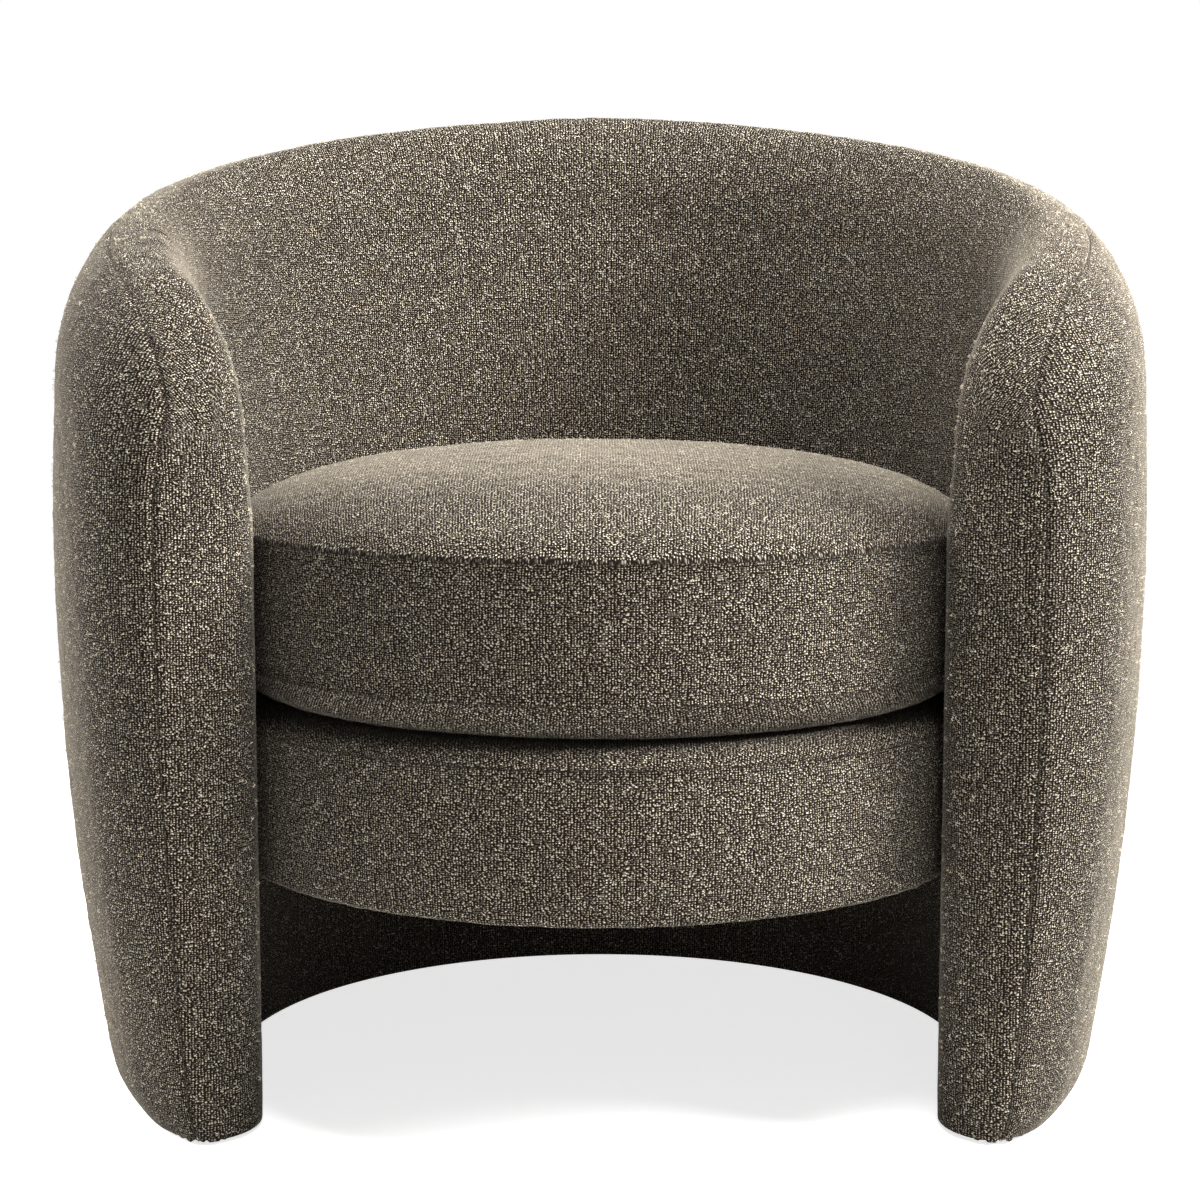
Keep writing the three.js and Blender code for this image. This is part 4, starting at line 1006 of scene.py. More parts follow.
def smooth_rows(t, angles):
    """The cushion's surface: the pattern plus the movement from the simulation, never inside the foam."""
    places = round_grid(t, angles, start_crown) + read_grid(cushion_moves, coarse_t, t, angles)
    t = np.asarray(t)[:, None]
    flat = places[..., :2] - (0, AXIS_Y)
    radius = np.linalg.norm(flat, axis=-1)
    least, _ = cushion_profile(t)
    limit = CUSHION_RADIUS + BOXING_SPARE + FRONT_SWELL * in_front(angles, FREE_ANGLE, 0.15)
    wanted = np.where((t >= 2) & (t <= 3), np.clip(radius, least, limit), np.minimum(radius, CUSHION_SEAM))
    places[..., :2] = flat * (wanted / np.maximum(radius, 1e-9))[..., None] + (0, AXIS_Y)
    dome = np.arccos(np.clip(wanted / CUSHION_SEAM, 0, 1) ** (1 / DOME_IN))
    foam_top = HIGH_SEAM + CROWN * np.sin(dome) ** DOME_UP + FOAM_SPARE
    places[..., 2] = np.where(t > 3, np.maximum(places[..., 2], foam_top), places[..., 2])
    return places


# %% Cloth maps of round panels
def disc_map(from_centre, angles):
    """The cloth map of a round panel, from each row's distance to its centre."""
    from_centre = from_centre[:, None]
    return np.stack([from_centre * np.sin(angles), -from_centre * np.cos(angles)], -1)


def band_map(angles, up, radius):
    """The cloth map of a band round a drum or cushion."""
    x, y = np.broadcast_arrays(radius * angles, up[:, None])
    return np.stack([x, y], -1)


# %% Panels of the cushion
ZIP_HEIGHT = (LOW_SEAM + HIGH_SEAM) / 2
zip_rows = [ZIP_HEIGHT - LOW_SEAM + gap for gap in (-0.0050, -0.0042, -0.0038, -0.0034)]
zip_rows += [ZIP_HEIGHT - LOW_SEAM + gap for gap in (0, 0.0034, 0.0038, 0.0042, 0.0050)]
round_seam = CUSHION_SEAM * fine_angles[None, :]
top_t, top_at, top_length = along_profile(3, 4, 0.0042, (True, False))
top_map = disc_map(top_length - top_at, fine_angles)
top_fields = {"seam": top_at[:, None], "along": round_seam}
top_panel = cloth_panel(smooth_rows(top_t, fine_angles), top_map, top_fields)
band_t, band_at, band_length = along_profile(2, 3, 0.0042, (True, True), extra=zip_rows)
band_fields = {"seam": np.minimum(band_at, band_length - band_at)[:, None], "along": round_seam + 0.5}
boxing_map = band_map(fine_angles, band_at, CUSHION_RADIUS)
band_panel = cloth_panel(smooth_rows(band_t, fine_angles), boxing_map, band_fields)
low_t, low_at, low_length = along_profile(0, 2, 0.0046, (False, True))
low_fields = {"seam": (low_length - low_at)[:, None], "along": round_seam + 0.9}
low_panel = cloth_panel(smooth_rows(low_t, fine_angles), disc_map(low_at, fine_angles) * (1, -1), low_fields)
print("rows: top", len(top_t), "boxing", len(band_t), "bottom", len(low_t))

# %% Sew the cushion and set in the zip
SLOT_HALF, SLOT_ANGLE, SLOT_FLOOR = 0.0041, 40.2, 0.2830
DECK_TOP, RESTING = 0.3024, 0.3026
cushion = sew("cushion_cover_sewn", [top_panel, band_panel, low_panel], boucle)
upholster(cushion, 23, 0.0, wave=0.0007, ridge=0.0010, ridge_reach=0.012)
places = points_of(cushion)
radius, from_back, height = place_on_tub(places)
in_slot = np.clip((SLOT_HALF - np.abs(height - ZIP_HEIGHT)) / 0.0004, 0, 1)
in_slot = in_slot * np.clip((SLOT_ANGLE - np.degrees(from_back)) / 0.5, 0, 1)
in_slot = np.where(radius > 0.28, in_slot, 0)
sunk = radius + (SLOT_FLOOR - radius) * in_slot
places[:, :2] = (places[:, :2] - (0, AXIS_Y)) * (sunk / np.maximum(radius, 1e-9))[:, None] + (0, AXIS_Y)
under = (height < DECK_TOP) & (radius < CUSHION_FLAT)
places[:, 2] = np.where(under, RESTING, np.maximum(height, DECK_TOP))
move_points(cushion, places)
declare(cushion, "cushion", "boucle", "cushion_cover", fill=0.85)
print("cushion top at", round(float(places[:, 2].max()), 4))

# %% [markdown]
# ## The seat drum
# Under the cushion a bent hoop carries the webbing and a deck of foam, in a cover of its own: a band round
# the side, sewn to a flat top along one seam, and turned under at the foot. It is a turned shape, so it is
# built from one outline and a full circle. In front it swells a little between seam and hem. Inside the
# wall the padding holds it flat.

# %% Outline of the drum
DRUM_RADIUS, DRUM_FLOOR, DRUM_SEAM, DECK = 0.2867, 0.1770, 0.2870, 0.3020
DRUM_ROUND, DRUM_HEM, HEM_ROUND = 0.022, 0.022, 0.005
SWELL_BACK, SWELL_FRONT = 0.0018, 0.0030 + 0.0007


def outline_rows(corners, spacing, seams):
    """An outline resampled to even rows, closer together beside a seam."""
    corners = np.array(corners)
    length = arc_table(corners[:, 0], corners[:, 1])
    at = near_seam(length[-1], max(2, round(length[-1] / spacing)), *seams)
    return np.interp(at, length, corners[:, 0]), np.interp(at, length, corners[:, 1]), at


quarter = np.linspace(0, math.pi / 2, 12)
side = [(DRUM_RADIUS - DRUM_HEM, DRUM_FLOOR + 0.0004), (DRUM_RADIUS - 0.006, DRUM_FLOOR)]
side += [
    (DRUM_RADIUS - HEM_ROUND + HEM_ROUND * math.sin(a), DRUM_FLOOR + HEM_ROUND * (1 - math.cos(a)))
    for a in quarter
]
side += [(DRUM_RADIUS, z) for z in np.linspace(DRUM_FLOOR + 0.006, DRUM_SEAM, 40)]
side_radius, side_height, side_at = outline_rows(side, 0.0038, (False, True))
deck = [
    (DRUM_RADIUS - DRUM_ROUND + DRUM_ROUND * math.cos(a), DRUM_SEAM + (DECK - DRUM_SEAM) * math.sin(a))
    for a in quarter
]
deck += [(r, DECK) for r in np.linspace(DRUM_RADIUS - DRUM_ROUND - 0.004, 0, 30)]
deck_radius, deck_height, deck_at = outline_rows(deck, 0.0052, (True, False))
print("rows: side", len(side_at), "deck", len(deck_at))


# %% Drum cover
def turned_panel(radius, height, cloth, seam):
    """A panel turned round the tub's axis, with the distance to the seam by row."""
    points = ring_points(radius, fine_angles, height[:, None], from_front=True)
    fields = {"seam": seam[:, None], "along": DRUM_RADIUS * fine_angles[None, :] + 2}
    return cloth_panel(points, cloth, fields)


climb = np.clip((side_height - DRUM_FLOOR) / (DRUM_SEAM - DRUM_FLOOR), 0, 1)[:, None]
free = in_front(fine_angles, math.radians(54), 0.12)
swell = np.sin(math.pi * climb) * (SWELL_BACK + (SWELL_FRONT - SWELL_BACK) * free)
side_map = band_map(fine_angles, side_at, DRUM_RADIUS)
side_panel = turned_panel(side_radius[:, None] + swell, side_height, side_map, side_at[-1] - side_at)
deck_map = disc_map(deck_at[-1] - deck_at, fine_angles)
deck_panel = turned_panel(deck_radius[:, None], deck_height, deck_map, deck_at)
drum = sew("drum_cover_sewn", [side_panel, deck_panel], boucle)
upholster(drum, 33, 0.0, wave=0.0005, ridge=0.0016, ridge_reach=0.010)
places = points_of(drum)
places[:, 2] = np.where(places[:, 2] > DECK - 0.001, np.minimum(places[:, 2], DECK + 0.0002), places[:, 2])
places[:, 2] = np.maximum(places[:, 2], DRUM_FLOOR - 0.0004)
move_points(drum, places)
declare(drum, "tub", "boucle", "base_cover", fill=0.9)

# %% [markdown]
# ## Dust cover and floor lining
# Thin black cloth closes the chair from below: a round of it under the drum, and a strip under the wall.
# Both are folded over at the edge and stapled. They are cloth without padding. The round one sags a few
# millimetres between its staples. A cloth simulation could find that sag too, but so small and even a one
# is quicker to write down.

# %% Thin black cloth
thin_weave, given, result = new_group(
    "thin_weave",
    [
        ("Place", VECTOR, None),
        ("Thread", FLOAT, 0.0009),
        ("Dark", COLOUR, srgb(20, 20, 21)),
        ("Light", COLOUR, srgb(46, 45, 46)),
    ],
    [("Colour", COLOUR), ("Height", FLOAT)],
)
tree = thin_weave
axes = add_node(tree, "ShaderNodeSeparateXYZ", {0: given.outputs["Place"]})
waves = []
for axis in ("X", "Y"):
    threads = math_node(tree, "DIVIDE", axes.outputs[axis], given.outputs["Thread"])
    turns = math_node(tree, "MULTIPLY", threads, math.pi)
    waves.append(math_node(tree, "ABSOLUTE", math_node(tree, "SINE", turns)))
fibres = noise(tree, given.outputs["Place"], 900, 3.0)
weave_height = math_node(tree, "MULTIPLY", math_node(tree, "MAXIMUM", *waves), fibres.outputs[0])
weave_colour = mix_colour(tree, weave_height, given.outputs["Dark"], given.outputs["Light"])
tree.links.new(weave_colour, result.inputs["Colour"])
tree.links.new(weave_height, result.inputs["Height"])


def woven_look(name, roughness, by_map, distance, strength, thread=None):
    """A thin woven cloth. The weave follows the piece's cloth map, or else its place in space."""
    look, tree, shader = surface_material(name, roughness, Sheen_Weight=0.1)
    if by_map:
        place = add_node(tree, "ShaderNodeUVMap", uv_map="cloth").outputs[0]
    else:
        place = add_node(tree, "ShaderNodeTexCoord").outputs["Object"]
    weave = use_group(tree, thin_weave, {"Place": place, **(thread or {})})
    tree.links.new(weave.outputs["Colour"], shader.inputs["Base Color"])
    bump(tree, shader, weave.outputs["Height"], distance, strength)
    return look


cambric = woven_look("dust_cloth", 0.9, True, 0.0003, 0.6)
print("thin cloth:", cambric.name)

# %% Dust cover under the drum
DUST_RADIUS, DUST_TOP, DUST_PULLS = 0.2747, 0.1766, 34
SAG, FOLD, PULL = 0.0042, 0.0005, 0.0004
round_angles = np.linspace(-math.pi, math.pi, 145)
inner_rows = np.linspace(0, DUST_RADIUS - 0.012, 30)
dust_rows = np.concatenate([inner_rows, DUST_RADIUS - np.array([0.010, 0.004, 0])])
sag = SAG * np.clip(1 - (dust_rows / (DUST_RADIUS - 0.014)) ** 2, 0, 1)
folded = FOLD * (dust_rows > DUST_RADIUS - 0.011)
near_edge = np.clip(1 - (DUST_RADIUS - dust_rows) / 0.03, 0, 1) * (dust_rows < DUST_RADIUS - 0.001)
pulls = PULL * np.sin(round_angles * DUST_PULLS)[None, :] * near_edge[:, None]
dust_height = (DUST_TOP - 0.0006 - sag - folded)[:, None] + pulls
dust_points = ring_points(dust_rows[:, None], round_angles, dust_height, from_front=True)
dust = sew("dust_cover_sheet", [cloth_panel(dust_points, disc_map(dust_rows, round_angles))], cambric)
declare(dust, "tub", "cambric", "dust_cover")

# %% Lining under the wall
LINING_HEIGHT, LINING_TURN = 0.0021, 0.33
lining_end = (HALF_LENGTH - 0.0425) / CREST_RADIUS
lining_angles = np.linspace(-lining_end, lining_end, 250)
lining_radii = np.array([0.2975, 0.2995, 0.3150, 0.3300, 0.3450, 0.3560, 0.3590, 0.3605])
lining_lift = np.array([0.0003, 0, 0.0001, 0.0002, 0.0002, 0.0001, 0, 0.0003])
lining_points = ring_points(lining_radii[:, None], lining_angles, (LINING_HEIGHT + lining_lift)[:, None])
lining_map = band_map(lining_angles, lining_radii, LINING_TURN)
lining = sew("plinth_lining_sheet", [cloth_panel(lining_points, lining_map, turned=True)], cambric)
declare(lining, "tub", "cambric", "plinth_lining")

# %% [markdown]
# ## Zip
# The cushion's cover comes off through a zip in the back of the boxing. A coil zip is a woven tape with a
# row of bent nylon teeth down its middle. The tape is a plain strip with its own weave. One tooth is
# modelled and repeated along the arc, with only a few faces, because there are a few hundred of them.

# %% Zip tape
ZIP_HALF_ANGLE = math.radians(39.8)
TAPE_BACK, TAPE_FACE, TAPE_HALF = 0.28335, 0.2838, 0.0039
tape_angles = np.linspace(-ZIP_HALF_ANGLE, ZIP_HALF_ANGLE, 181)
tape_radius = np.array([TAPE_BACK, TAPE_FACE, TAPE_FACE, TAPE_BACK, TAPE_BACK])[:, None]
tape_height = TAPE_HALF * np.array([-1, -1, 1, 1, -1])[:, None]
tape_points = ring_points(tape_radius, tape_angles, ZIP_HEIGHT + tape_height)
tape_map = band_map(tape_angles, np.array([0, 0.0005, 0.0083, 0.0088, 0.0166]), CUSHION_RADIUS)
tape = sew("zip_tape", [cloth_panel(tape_points, tape_map, turned=True)], cambric)
print("zip tape", round(2 * ZIP_HALF_ANGLE * TAPE_FACE, 3), "m long")


# %% Zip teeth
def closed_mesh(name, points, faces):
    """A mesh from points and faces, with its faces turned outwards."""
    mesh = bpy.data.meshes.new(name)
    mesh.from_pydata(points, [], faces)
    work = bmesh.new()
    work.from_mesh(mesh)
    bmesh.ops.recalc_face_normals(work, faces=work.faces)
    work.to_mesh(mesh)
    work.free()
    return mesh


TOOTH_PITCH, COIL_RADIUS, COIL_FACE, TOOTH_REACH = 0.0015, 0.2845, 0.2851, 0.0021
tooth_shape = ((-0.0005, -1), (0.0005, -1), (0.0005, 0.4), (-0.0005, 0.4))
tooth_quads = ((0, 1, 5, 4), (1, 2, 6, 5), (2, 3, 7, 6), (3, 0, 4, 7), (4, 5, 6, 7), (3, 2, 1, 0))
tooth_count = int(2 * ZIP_HALF_ANGLE * COIL_RADIUS / TOOTH_PITCH)
tooth_points, tooth_faces = [], []
for n in range(tooth_count):
    angle = -ZIP_HALF_ANGLE + (n + 0.5) * TOOTH_PITCH / COIL_RADIUS
    side_of = 1 if n % 2 else -1
    for radius_of, shrink in ((TAPE_FACE, 1.0), (COIL_FACE, 0.8)):
        for x, y in tooth_shape:
            turn_at = angle + x * shrink / radius_of
            height_at = ZIP_HEIGHT + side_of * y * TOOTH_REACH * (0.9 + 0.1 * shrink)
            place_at = (radius_of * math.sin(turn_at), AXIS_Y + radius_of * math.cos(turn_at), height_at)
            tooth_points.append(place_at)
    tooth_faces += [tuple(8 * n + i for i in quad) for quad in tooth_quads]
teeth = bpy.data.objects.new("zip_teeth", closed_mesh("zip_teeth", tooth_points, tooth_faces))
bpy.context.scene.collection.objects.link(teeth)
print("zip teeth:", tooth_count)

# %% [markdown]
# ## Small effects shared by the hard finishes
# Plywood shows its layers on every cut edge and its grain on its faces. Hardboard, foam, nylon and zinc
# are plainer, and what tells them apart is the size of their speckle. So there are two groups: one for
# the layers and grain of plywood, and one for speckle, which each material uses at its own scale.

# %% Plywood layers
ply_layers, given, result = new_group(
    "ply_layers",
    [
        ("Place", VECTOR, None),
        ("Through", FLOAT, 0.0),
        ("Layer", FLOAT, 0.0015),
        ("Pale", COLOUR, srgb(222, 196, 156)),
        ("Deep", COLOUR, srgb(178, 138, 92)),
    ],
    [("Colour", COLOUR), ("Height", FLOAT), ("Roughness", FLOAT)],
)
tree = ply_layers
turns = math_node(tree, "DIVIDE", given.outputs["Through"], given.outputs["Layer"])
stripe = math_node(tree, "PINGPONG", turns, 1.0)
stripe = ramp_value(tree, stripe, 0.42, 0.58)
stretched = vector_node(tree, "MULTIPLY", given.outputs["Place"], (30, 30, 9))
grain = noise(tree, stretched, 9, 6.0, distortion=0.8)
pores = noise(tree, stretched, 70, 2.0)
from_layers = math_node(tree, "MULTIPLY", stripe, 0.55)
from_grain = math_node(tree, "MULTIPLY", grain.outputs[0], 0.55)
tone = math_node(tree, "ADD", from_layers, from_grain)
colour = mix_colour(tree, tone, given.outputs["Pale"], given.outputs["Deep"])
pore_mask = ramp_value(tree, pores.outputs[0], 0.62, 0.72)
colour = mix_colour(tree, math_node(tree, "MULTIPLY", pore_mask, 0.5), colour, srgb(120, 86, 52))
tree.links.new(colour, result.inputs["Colour"])
tree.links.new(math_node(tree, "SUBTRACT", tone, pore_mask), result.inputs["Height"])
tree.links.new(ramp_value(tree, grain.outputs[0], 0.3, 0.7, 0.62, 0.82), result.inputs["Roughness"])
print("plywood layers:", len(tree.nodes), "nodes")

# %% Speckle
speckle, given, result = new_group(
    "speckle",
    [
        ("Place", VECTOR, None),
        ("Grains per Metre", FLOAT, 400.0),
        ("Base", COLOUR, srgb(128, 128, 128)),
        ("Mark", COLOUR, srgb(90, 90, 90)),
        ("Amount", FLOAT, 0.5),
    ],
    [("Colour", COLOUR), ("Height", FLOAT), ("Roughness", FLOAT)],
)
tree = speckle
place, grains = given.outputs["Place"], given.outputs["Grains per Metre"]
fine = noise(tree, place, grains, 4.0)
holes = add_node(tree, "ShaderNodeTexVoronoi", {"Vector": place, "Scale": grains})
marks = math_node(tree, "MULTIPLY", ramp_value(tree, holes.outputs["Distance"], 0.45, 0.1), fine.outputs[0])
amount = math_node(tree, "MULTIPLY", marks, given.outputs["Amount"])
colour = mix_colour(tree, amount, given.outputs["Base"], given.outputs["Mark"])
tree.links.new(colour, result.inputs["Colour"])
tree.links.new(math_node(tree, "SUBTRACT", fine.outputs[0], marks), result.inputs["Height"])
tree.links.new(ramp_value(tree, fine.outputs[0], 0.35, 0.65, 0.35, 0.6), result.inputs["Roughness"])
print("groups:", [g.name for g in bpy.data.node_groups])


# %% Plywood finish
def plywood_look(name, direction):
    """Plywood whose layers follow one direction: up, round the tub's axis, out from it, or left to right."""
    look, tree, shader = surface_material(name, 0.75)
    place = add_node(tree, "ShaderNodeTexCoord").outputs["Object"]
    axes = add_node(tree, "ShaderNodeSeparateXYZ", {0: place})
    x, z = axes.outputs["X"], axes.outputs["Z"]
    y = math_node(tree, "SUBTRACT", axes.outputs["Y"], AXIS_Y)
    if direction == "up":
        through = z
    elif direction == "left":
        through = x
    elif direction == "out":
        squares = math_node(tree, "ADD", math_node(tree, "MULTIPLY", x, x), math_node(tree, "MULTIPLY", y, y))
        through = math_node(tree, "SQRT", squares)
    else:
        through = math_node(tree, "MULTIPLY", math_node(tree, "ARCTAN2", x, y), CREST_RADIUS)
    layers = use_group(tree, ply_layers, {"Place": place, "Through": through})
    tree.links.new(layers.outputs["Colour"], shader.inputs["Base Color"])
    tree.links.new(layers.outputs["Roughness"], shader.inputs["Roughness"])
    bump(tree, shader, layers.outputs["Height"], 0.0003, 0.5)
    return look


# %% Speckled finishes
def speckled_look(name, grains, base, mark, amount, depth, roughness=0.6, metallic=0.0, worn=False):
    """A finish told by its speckle. A worn one is also rougher in some places than in others."""
    look, tree, shader = surface_material(name, roughness, metallic)
    place = add_node(tree, "ShaderNodeTexCoord").outputs["Object"]
    inputs = {"Place": place, "Grains per Metre": grains, "Base": base, "Mark": mark, "Amount": amount}
    marks = use_group(tree, speckle, inputs)
    tree.links.new(marks.outputs["Colour"], shader.inputs["Base Color"])
    if worn:
        tree.links.new(marks.outputs["Roughness"], shader.inputs["Roughness"])
    bump(tree, shader, marks.outputs["Height"], depth, 0.6)
    return look


looks = {
    "up": plywood_look("plywood_flat", "up"),
    "out": plywood_look("plywood_bent", "out"),
    "round": plywood_look("plywood_rib", "round"),
    "left": plywood_look("plywood_bar", "left"),
    "hardboard": speckled_look("hardboard", 1400, srgb(150, 112, 76), srgb(104, 72, 46), 0.9, 0.0002),
    "foam": speckled_look("seat_foam", 520, srgb(236, 228, 198), srgb(196, 182, 140), 1.0, 0.0009, 0.95),
    "nylon": speckled_look("moulded_nylon", 900, srgb(46, 43, 40), srgb(30, 28, 26), 0.7, 0.0001, 0.45),
    "zinc": speckled_look(
        "zinc_plate", 700, srgb(186, 189, 192), srgb(150, 153, 158), 0.6, 0.00008, 0.35, 1.0, worn=True
    ),
}
thick_thread = {"Thread": 0.0022, "Dark": srgb(62, 48, 34), "Light": srgb(168, 142, 108)}
looks["web"] = woven_look("elastic_webbing", 0.85, False, 0.0006, 0.8, thick_thread)
print("finishes:", sorted(looks))

# %% Dress the hidden pieces
finish_by_start = {
    "web_": "web",
    "rib_": "round",
    "arm_post": "round",
    "stretcher": "left",
    "hoop_bolt": "zinc",
    "tee_nut": "zinc",
    "plinth_ring": "up",
    "top_rail": "up",
    "seat_rail": "out",
    "seat_hoop": "out",
}
dressed = []
for name, node in solids.items():
    chosen = [finish for start, finish in finish_by_start.items() if name.startswith(start)]
    if name.endswith("_board"):
        chosen = ["hardboard"]
    elif "foam" in name:
        chosen = ["foam"]
    if chosen:
        node.data.materials.clear()
        node.data.materials.append(looks[chosen[0]])
        dressed.append(name)
print("dressed", len(dressed), "solids")
teeth.data.materials.append(looks["nylon"])
declare(tape, "cushion", "nylon", "cushion_zip")
declare(teeth, "cushion", "nylon")

# %% [markdown]
# ## Loose loops
# Here and there a loop of the pile has worked loose and stands up from the cloth, and along an outline such
# loops break the clean edge. A hair system could grow them, but it is heavy and doesn't travel well to
# other programs. A few thousand bent tubes do as well: each is a half ring of yarn with few faces, its ends
# sunk in the cloth. They keep away from the inside of the wall, where the cushion slides past.


# %% One half ring of yarn at each place
def faces_of(piece):
    """Centre, normal and area of each face."""
    faces = piece.data.polygons
    areas = np.zeros(len(faces))
    faces.foreach_get("area", areas)
    return read_vectors(faces, "center"), read_vectors(faces, "normal"), areas


def half_rings(piece, count, wanted, chance):
    """Points of yarn loops at random places on a piece: by loop, by station along it, by side of the yarn."""
    centres, normals, areas = faces_of(piece)
    share = areas * wanted(*place_on_tub(centres))
    picked = chance.choice(len(areas), size=count, p=share / share.sum())
    up = normals[picked]
    ahead = np.cross(up, chance.normal(size=(count, 3)))
    ahead /= np.linalg.norm(ahead, axis=1, keepdims=True)
    side = np.cross(up, ahead)
    at = centres[picked] + ahead * chance.uniform(-0.0015, 0.0015, (count, 1))
    half = chance.uniform(0.0007, 0.0014, (count, 1, 1))
    tall = chance.uniform(0.0012, 0.0026, (count, 1, 1))
    lean = chance.uniform(-0.0010, 0.0010, (count, 1, 1))
    yarn = chance.uniform(0.00020, 0.00032, (count, 1, 1, 1))
    at, up, ahead, side = (v[:, None, :] for v in (at, up, ahead, side))
    turn = np.linspace(0, math.pi, 7)[None, :, None]
    middle = at + ahead * half * np.cos(turn) + up * (tall * np.sin(turn) - 0.0006)
    middle = middle + side * lean * np.sin(turn)
    away = ahead * np.cos(turn) + up * np.sin(turn)
    round_yarn = np.radians((0, 120, 240))[None, None, :, None]
    offset = away[:, :, None] * np.cos(round_yarn) + side[:, :, None] * np.sin(round_yarn)
    return middle[:, :, None] + yarn * offset


# %% Join the loops
loose_yarn = speckled_look("loose_yarn", 1500, srgb(196, 183, 160), srgb(104, 92, 76), 0.9, 0.0001, 0.95)
LOOP_SEED = 11


def grow_loops(name, body, *sources):
    """One mesh of loops on some pieces, each with a count and a test of where loops may stand."""
    chance = np.random.default_rng(LOOP_SEED)
    points = np.concatenate([half_rings(piece, count, wanted, chance) for piece, count, wanted in sources])
    loops, stations, sides = points.shape[:3]
    index = np.arange(loops * stations * sides).reshape(loops, stations, sides)
    after = np.roll(index, -1, axis=2)
    quads = np.stack([index[:, :-1], after[:, :-1], after[:, 1:], index[:, 1:]], -1).reshape(-1, 4)
    ends = np.concatenate([index[:, 0, ::-1], index[:, -1]])
    mesh = closed_mesh(name, points.reshape(-1, 3).tolist(), quads.tolist() + ends.tolist())
    declare(finish_mesh(name, mesh, loose_yarn), body, "boucle")
    print(name, "has", loops, "loops")


# %% Where loops may stand
# Past this angle from the back, drum and cushion stand free in front, between the arms.
FREE_FRONT = 2.45


def on_inside_cover(radius, from_back, height):
    arm_front = (from_back * CREST_RADIUS > HALF_LENGTH - 0.045) & (radius > 0.300)
    return ((radius > 0.338) | arm_front) & (height > 0.03)


def on_outside_cover(radius, from_back, height):
    return height > 0.03


def on_drum(radius, from_back, height):
    return (radius > 0.283) & (from_back > FREE_FRONT) & (height > 0.19) & (height < 0.280)


def on_cushion(radius, from_back, height):
    top = (height > 0.43) & (radius < 0.270)
    return top | ((height > 0.335) & (radius > 0.27) & (from_back > FREE_FRONT))


grow_loops(
    "wall_loose_loops",
    "tub",
    (inside_cover, 950, on_inside_cover),
    (outside_cover, 2700, on_outside_cover),
    (drum, 300, on_drum),
)
grow_loops("cushion_loose_loops", "cushion", (cushion, 1000, on_cushion))

# %% [markdown]
# ## Glides
# Six nylon buttons with a nail each keep the cloth off the floor. A glide starts as a flat cylinder. Its
# lower rim is bevelled, the top is inset and pulled up into the nail, and the rest are copies, each moved
# to its place in the ring.


# %% Start a piece and pick its faces
def start_piece(add, name, **settings):
    """A primitive at its size and place, added with nothing else selected."""
    bpy.ops.object.select_all(action="DESELECT")
    add(**settings)
    piece = bpy.context.object
    piece.name = piece.data.name = name
    return piece


def start_bar(name, size, location=(0, 0, 0)):
    return start_piece(bpy.ops.mesh.primitive_cube_add, name, size=1, location=location, scale=size)


def pick_faces(piece, wanted):
    """Selects the faces whose centre and normal pass a test, in face mode of edit mode."""
    bpy.ops.object.mode_set(mode="EDIT")
    bpy.ops.mesh.select_mode(type="FACE")
    bpy.ops.mesh.select_all(action="DESELECT")
    work = bmesh.from_edit_mesh(piece.data)
    for face in work.faces:
        face.select_set(bool(wanted(face.calc_center_median(), face.normal)))
    bmesh.update_edit_mesh(piece.data)


def bevel_all(offset):
    bpy.ops.mesh.select_all(action="SELECT")
    bpy.ops.mesh.bevel(offset=offset, segments=2, affect="EDGES")


# %% Finish, copy and join
SMOOTH_ANGLE = 0.6


def finish_piece(piece, look):
    """Back to object mode, with its place in its mesh, smooth where it is round, and its material on."""
    bpy.ops.object.mode_set(mode="OBJECT")
    bpy.ops.object.select_all(action="DESELECT")
    piece.select_set(True)
    bpy.context.view_layer.objects.active = piece
    bpy.ops.object.transform_apply(location=True, rotation=True, scale=True)
    bpy.ops.object.shade_smooth_by_angle(angle=SMOOTH_ANGLE)
    piece.data.materials.clear()
    piece.data.materials.append(look)


def copy_to(model, matrix):
    """A copy of a modelled piece with its own mesh, moved there."""
    copy = model.copy()
    copy.data = model.data.copy()
    copy.data.transform(matrix)
    bpy.context.scene.collection.objects.link(copy)
    return copy


def turned_to(angle):
    """A turn round the tub's axis, to an angle from the back."""
    return Matrix.Translation((0, AXIS_Y, 0)) @ Matrix.Rotation(-angle, 4, "Z")


def join_pieces(name, pieces):
    """Joins pieces into the first of them."""
    bpy.ops.object.select_all(action="DESELECT")
    for piece in pieces:
        piece.select_set(True)
    bpy.context.view_layer.objects.active = pieces[0]
    bpy.ops.object.join()
    pieces[0].name = pieces[0].data.name = name
    return pieces[0]


# %% Model one glide
GLIDE_RADIUS, GLIDE_TOP, GLIDE_STEP = 0.011, 0.0026, 0.0006
NAIL_RADIUS, NAIL_TOP, NAIL_POINT = 0.0015, 0.0170, 0.003
glide = start_piece(
    bpy.ops.mesh.primitive_cylinder_add,
    "glide_button",
    vertices=28,
    radius=GLIDE_RADIUS,
    depth=GLIDE_TOP,
    location=(0, 0, GLIDE_TOP / 2),
)
pick_faces(glide, lambda centre, normal: normal.z < -0.9)
bpy.ops.mesh.bevel(offset=0.0012, segments=3, affect="EDGES")
pick_faces(glide, lambda centre, normal: normal.z > 0.9)
bpy.ops.mesh.inset(thickness=GLIDE_STEP)
bpy.ops.transform.translate(value=(0, 0, 0.00005))
bpy.ops.mesh.inset(thickness=GLIDE_RADIUS - GLIDE_STEP - NAIL_RADIUS)
bpy.ops.mesh.extrude_region_move(TRANSFORM_OT_translate={"value": (0, 0, NAIL_TOP - GLIDE_TOP - NAIL_POINT)})
bpy.ops.mesh.extrude_region_move(TRANSFORM_OT_translate={"value": (0, 0, NAIL_POINT)})
bpy.ops.transform.resize(value=(0.1, 0.1, 1), center_override=(0, 0, NAIL_TOP))
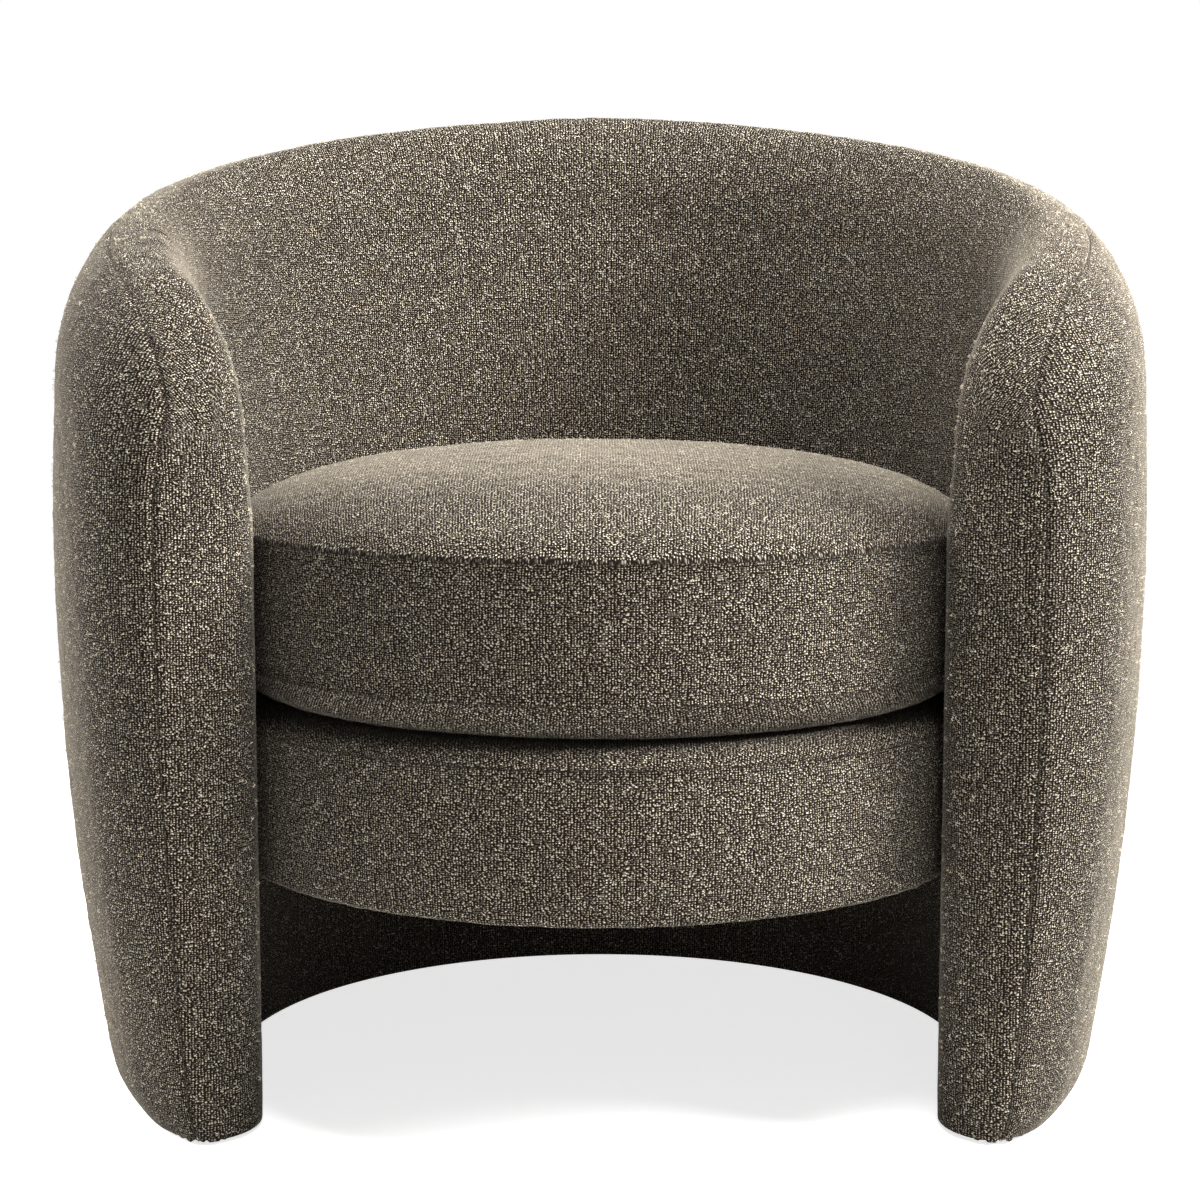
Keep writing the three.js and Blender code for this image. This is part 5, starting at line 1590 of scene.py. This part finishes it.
finish_piece(glide, looks["nylon"])
print("one glide has", len(glide.data.polygons), "faces")

# %% Copy it to each place
for n in range(1, 7):
    low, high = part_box(f"glide_{n}")
    copy = copy_to(glide, Matrix.Translation(((low.x + high.x) / 2, (low.y + high.y) / 2, 0)))
    copy.name = copy.data.name = f"glide_button_{n}"
    declare(copy, "tub", "nylon", f"glide_{n}")
bpy.data.objects.remove(glide)

# %% [markdown]
# ## Staples
# The thin cloths are held by staples: a flat wire whose two legs go up into the plywood, so only the crown
# shows. One staple starts as a bar. It is cut near both ends with bisect, and the two end faces on top are
# extruded into legs. The rest are copies, each turned to its place, a little askew as a hand leaves them.
# A real staple is bent wire, which a curve could follow, but at this size its square edges matter more.

# %% Model one staple
STAPLE_WIDTH, WIRE_WIDTH, WIRE_THICK, LEG = 0.0104, 0.0013, 0.0006, 0.0050
leg_from = STAPLE_WIDTH / 2 - WIRE_THICK
staple = start_bar("staple", (STAPLE_WIDTH, WIRE_WIDTH, WIRE_THICK))
bpy.ops.object.mode_set(mode="EDIT")
for side_of in (-1, 1):
    bpy.ops.mesh.select_all(action="SELECT")
    bpy.ops.mesh.bisect(plane_co=(side_of * leg_from, 0, 0), plane_no=(1, 0, 0))
pick_faces(staple, lambda centre, normal: normal.z > 0.9 and abs(centre.x) > leg_from)
bpy.ops.mesh.extrude_region_move(TRANSFORM_OT_translate={"value": (0, 0, LEG)})
pick_faces(staple, lambda centre, normal: normal.z < -0.9)
bpy.ops.mesh.bevel(offset=0.00018, segments=1, affect="EDGES")
finish_piece(staple, looks["zinc"])
print("one staple has", len(staple.data.polygons), "faces")

# %% Copy it along the edges
ASKEW, OFF_LINE = 0.12, 0.0006


def staple_ring(radius, height, angles):
    """Copies of the staple round the tub's axis, at angles from the back."""
    copies = []
    for n, angle in enumerate(angles):
        askew = Matrix.Rotation(ASKEW * math.sin(7.3 * n), 4, "Z")
        placed = Matrix.Translation((0, radius + OFF_LINE * math.sin(3.1 * n), height)) @ askew
        copies.append(copy_to(staple, turned_to(angle) @ placed))
    return copies


pulled = (math.pi / 2 + 2 * math.pi * np.arange(DUST_PULLS)) / DUST_PULLS
dust_staples = staple_ring(DUST_RADIUS - 0.0065, DUST_TOP - 0.0015, math.pi - pulled)
declare(join_pieces("dust_cover_staples", dust_staples), "tub", "steel")
lining_staples = []
for radius in (0.3045, 0.3535):
    lining_staples += staple_ring(radius, 0.0018, np.linspace(-lining_end + 0.05, lining_end - 0.05, 27))
declare(join_pieces("lining_staples", lining_staples), "tub", "steel")
bpy.data.objects.remove(staple)

# %% [markdown]
# ## Zip slider
# The slider is a small zinc casting: a body with a waist, a bridge on its back and a pull that hangs from
# it. The body starts as a cube, its front and back ends are pinched and its edges bevelled. The pull starts
# as another, tapered, with its upper end narrowed to the size of the bridge.

# %% Model the slider's body
body = start_bar("zip_slider_body", (0.0120, 0.0022, 0.0066))
pick_faces(body, lambda centre, normal: abs(normal.x) > 0.9)
bpy.ops.mesh.extrude_region_move(TRANSFORM_OT_translate={"value": (0, 0, 0)})
bpy.ops.transform.resize(value=(1, 1, 0.62), center_override=(0, 0, 0))
bpy.ops.mesh.select_all(action="SELECT")
bpy.ops.mesh.remove_doubles(threshold=1e-5)
bevel_all(0.0004)
finish_piece(body, looks["zinc"])
print("slider body has", len(body.data.polygons), "faces")

# %% Model its bridge and pull
bridge = start_bar("zip_slider_bridge", (0.0016, 0.0013, 0.0056), (0, 0.0016, 0))
pick_faces(bridge, lambda centre, normal: normal.y > 0.9)
bpy.ops.transform.resize(value=(0.8, 1, 0.6), center_override=(0, 0.0022, 0))
bevel_all(0.0003)
finish_piece(bridge, looks["zinc"])
pull = start_bar("zip_slider_pull", (0.0060, 0.0009, 0.0190), (0, 0.0029, -0.0098))
pick_faces(pull, lambda centre, normal: normal.z > 0.9)
bpy.ops.transform.resize(value=(0.55, 1, 1), center_override=(0, 0.0029, 0))
pick_faces(pull, lambda centre, normal: normal.y > 0.9)
bpy.ops.mesh.inset(thickness=0.0011)
bpy.ops.transform.translate(value=(0, -0.0002, 0))
bevel_all(0.0002)
finish_piece(pull, looks["zinc"])
print("bridge and pull have", len(bridge.data.polygons) + len(pull.data.polygons), "faces")

# %% Put the slider on its zip
SLIDER_OUT = 0.2856 + 0.0003 + 0.0011
low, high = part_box("zip_slider")
middle = (low + high) / 2
slider_angle = math.atan2(middle.x, middle.y - AXIS_Y)
slider = join_pieces("zip_slider_cast", (body, bridge, pull))
slider.data.transform(turned_to(slider_angle) @ Matrix.Translation((0, SLIDER_OUT, ZIP_HEIGHT)))
declare(slider, "zip_slider", "steel", "zip_slider")
print("slider at", round(math.degrees(slider_angle), 1), "degrees from the back")

# %% [markdown]
# ## Measure the chair
# Dressing must not change the chair's size. The box round everything is kept beside the box of the bare
# solids, so the two can be compared, and the last line prints how far the covers pass the solids.

# %% Sizes
visual_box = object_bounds()
past = [round(1000 * (new - old), 1) for new, old in zip(visual_box[1], solid_box[1])]
print("right, back and top of the covers pass the solids by", past, "mm")
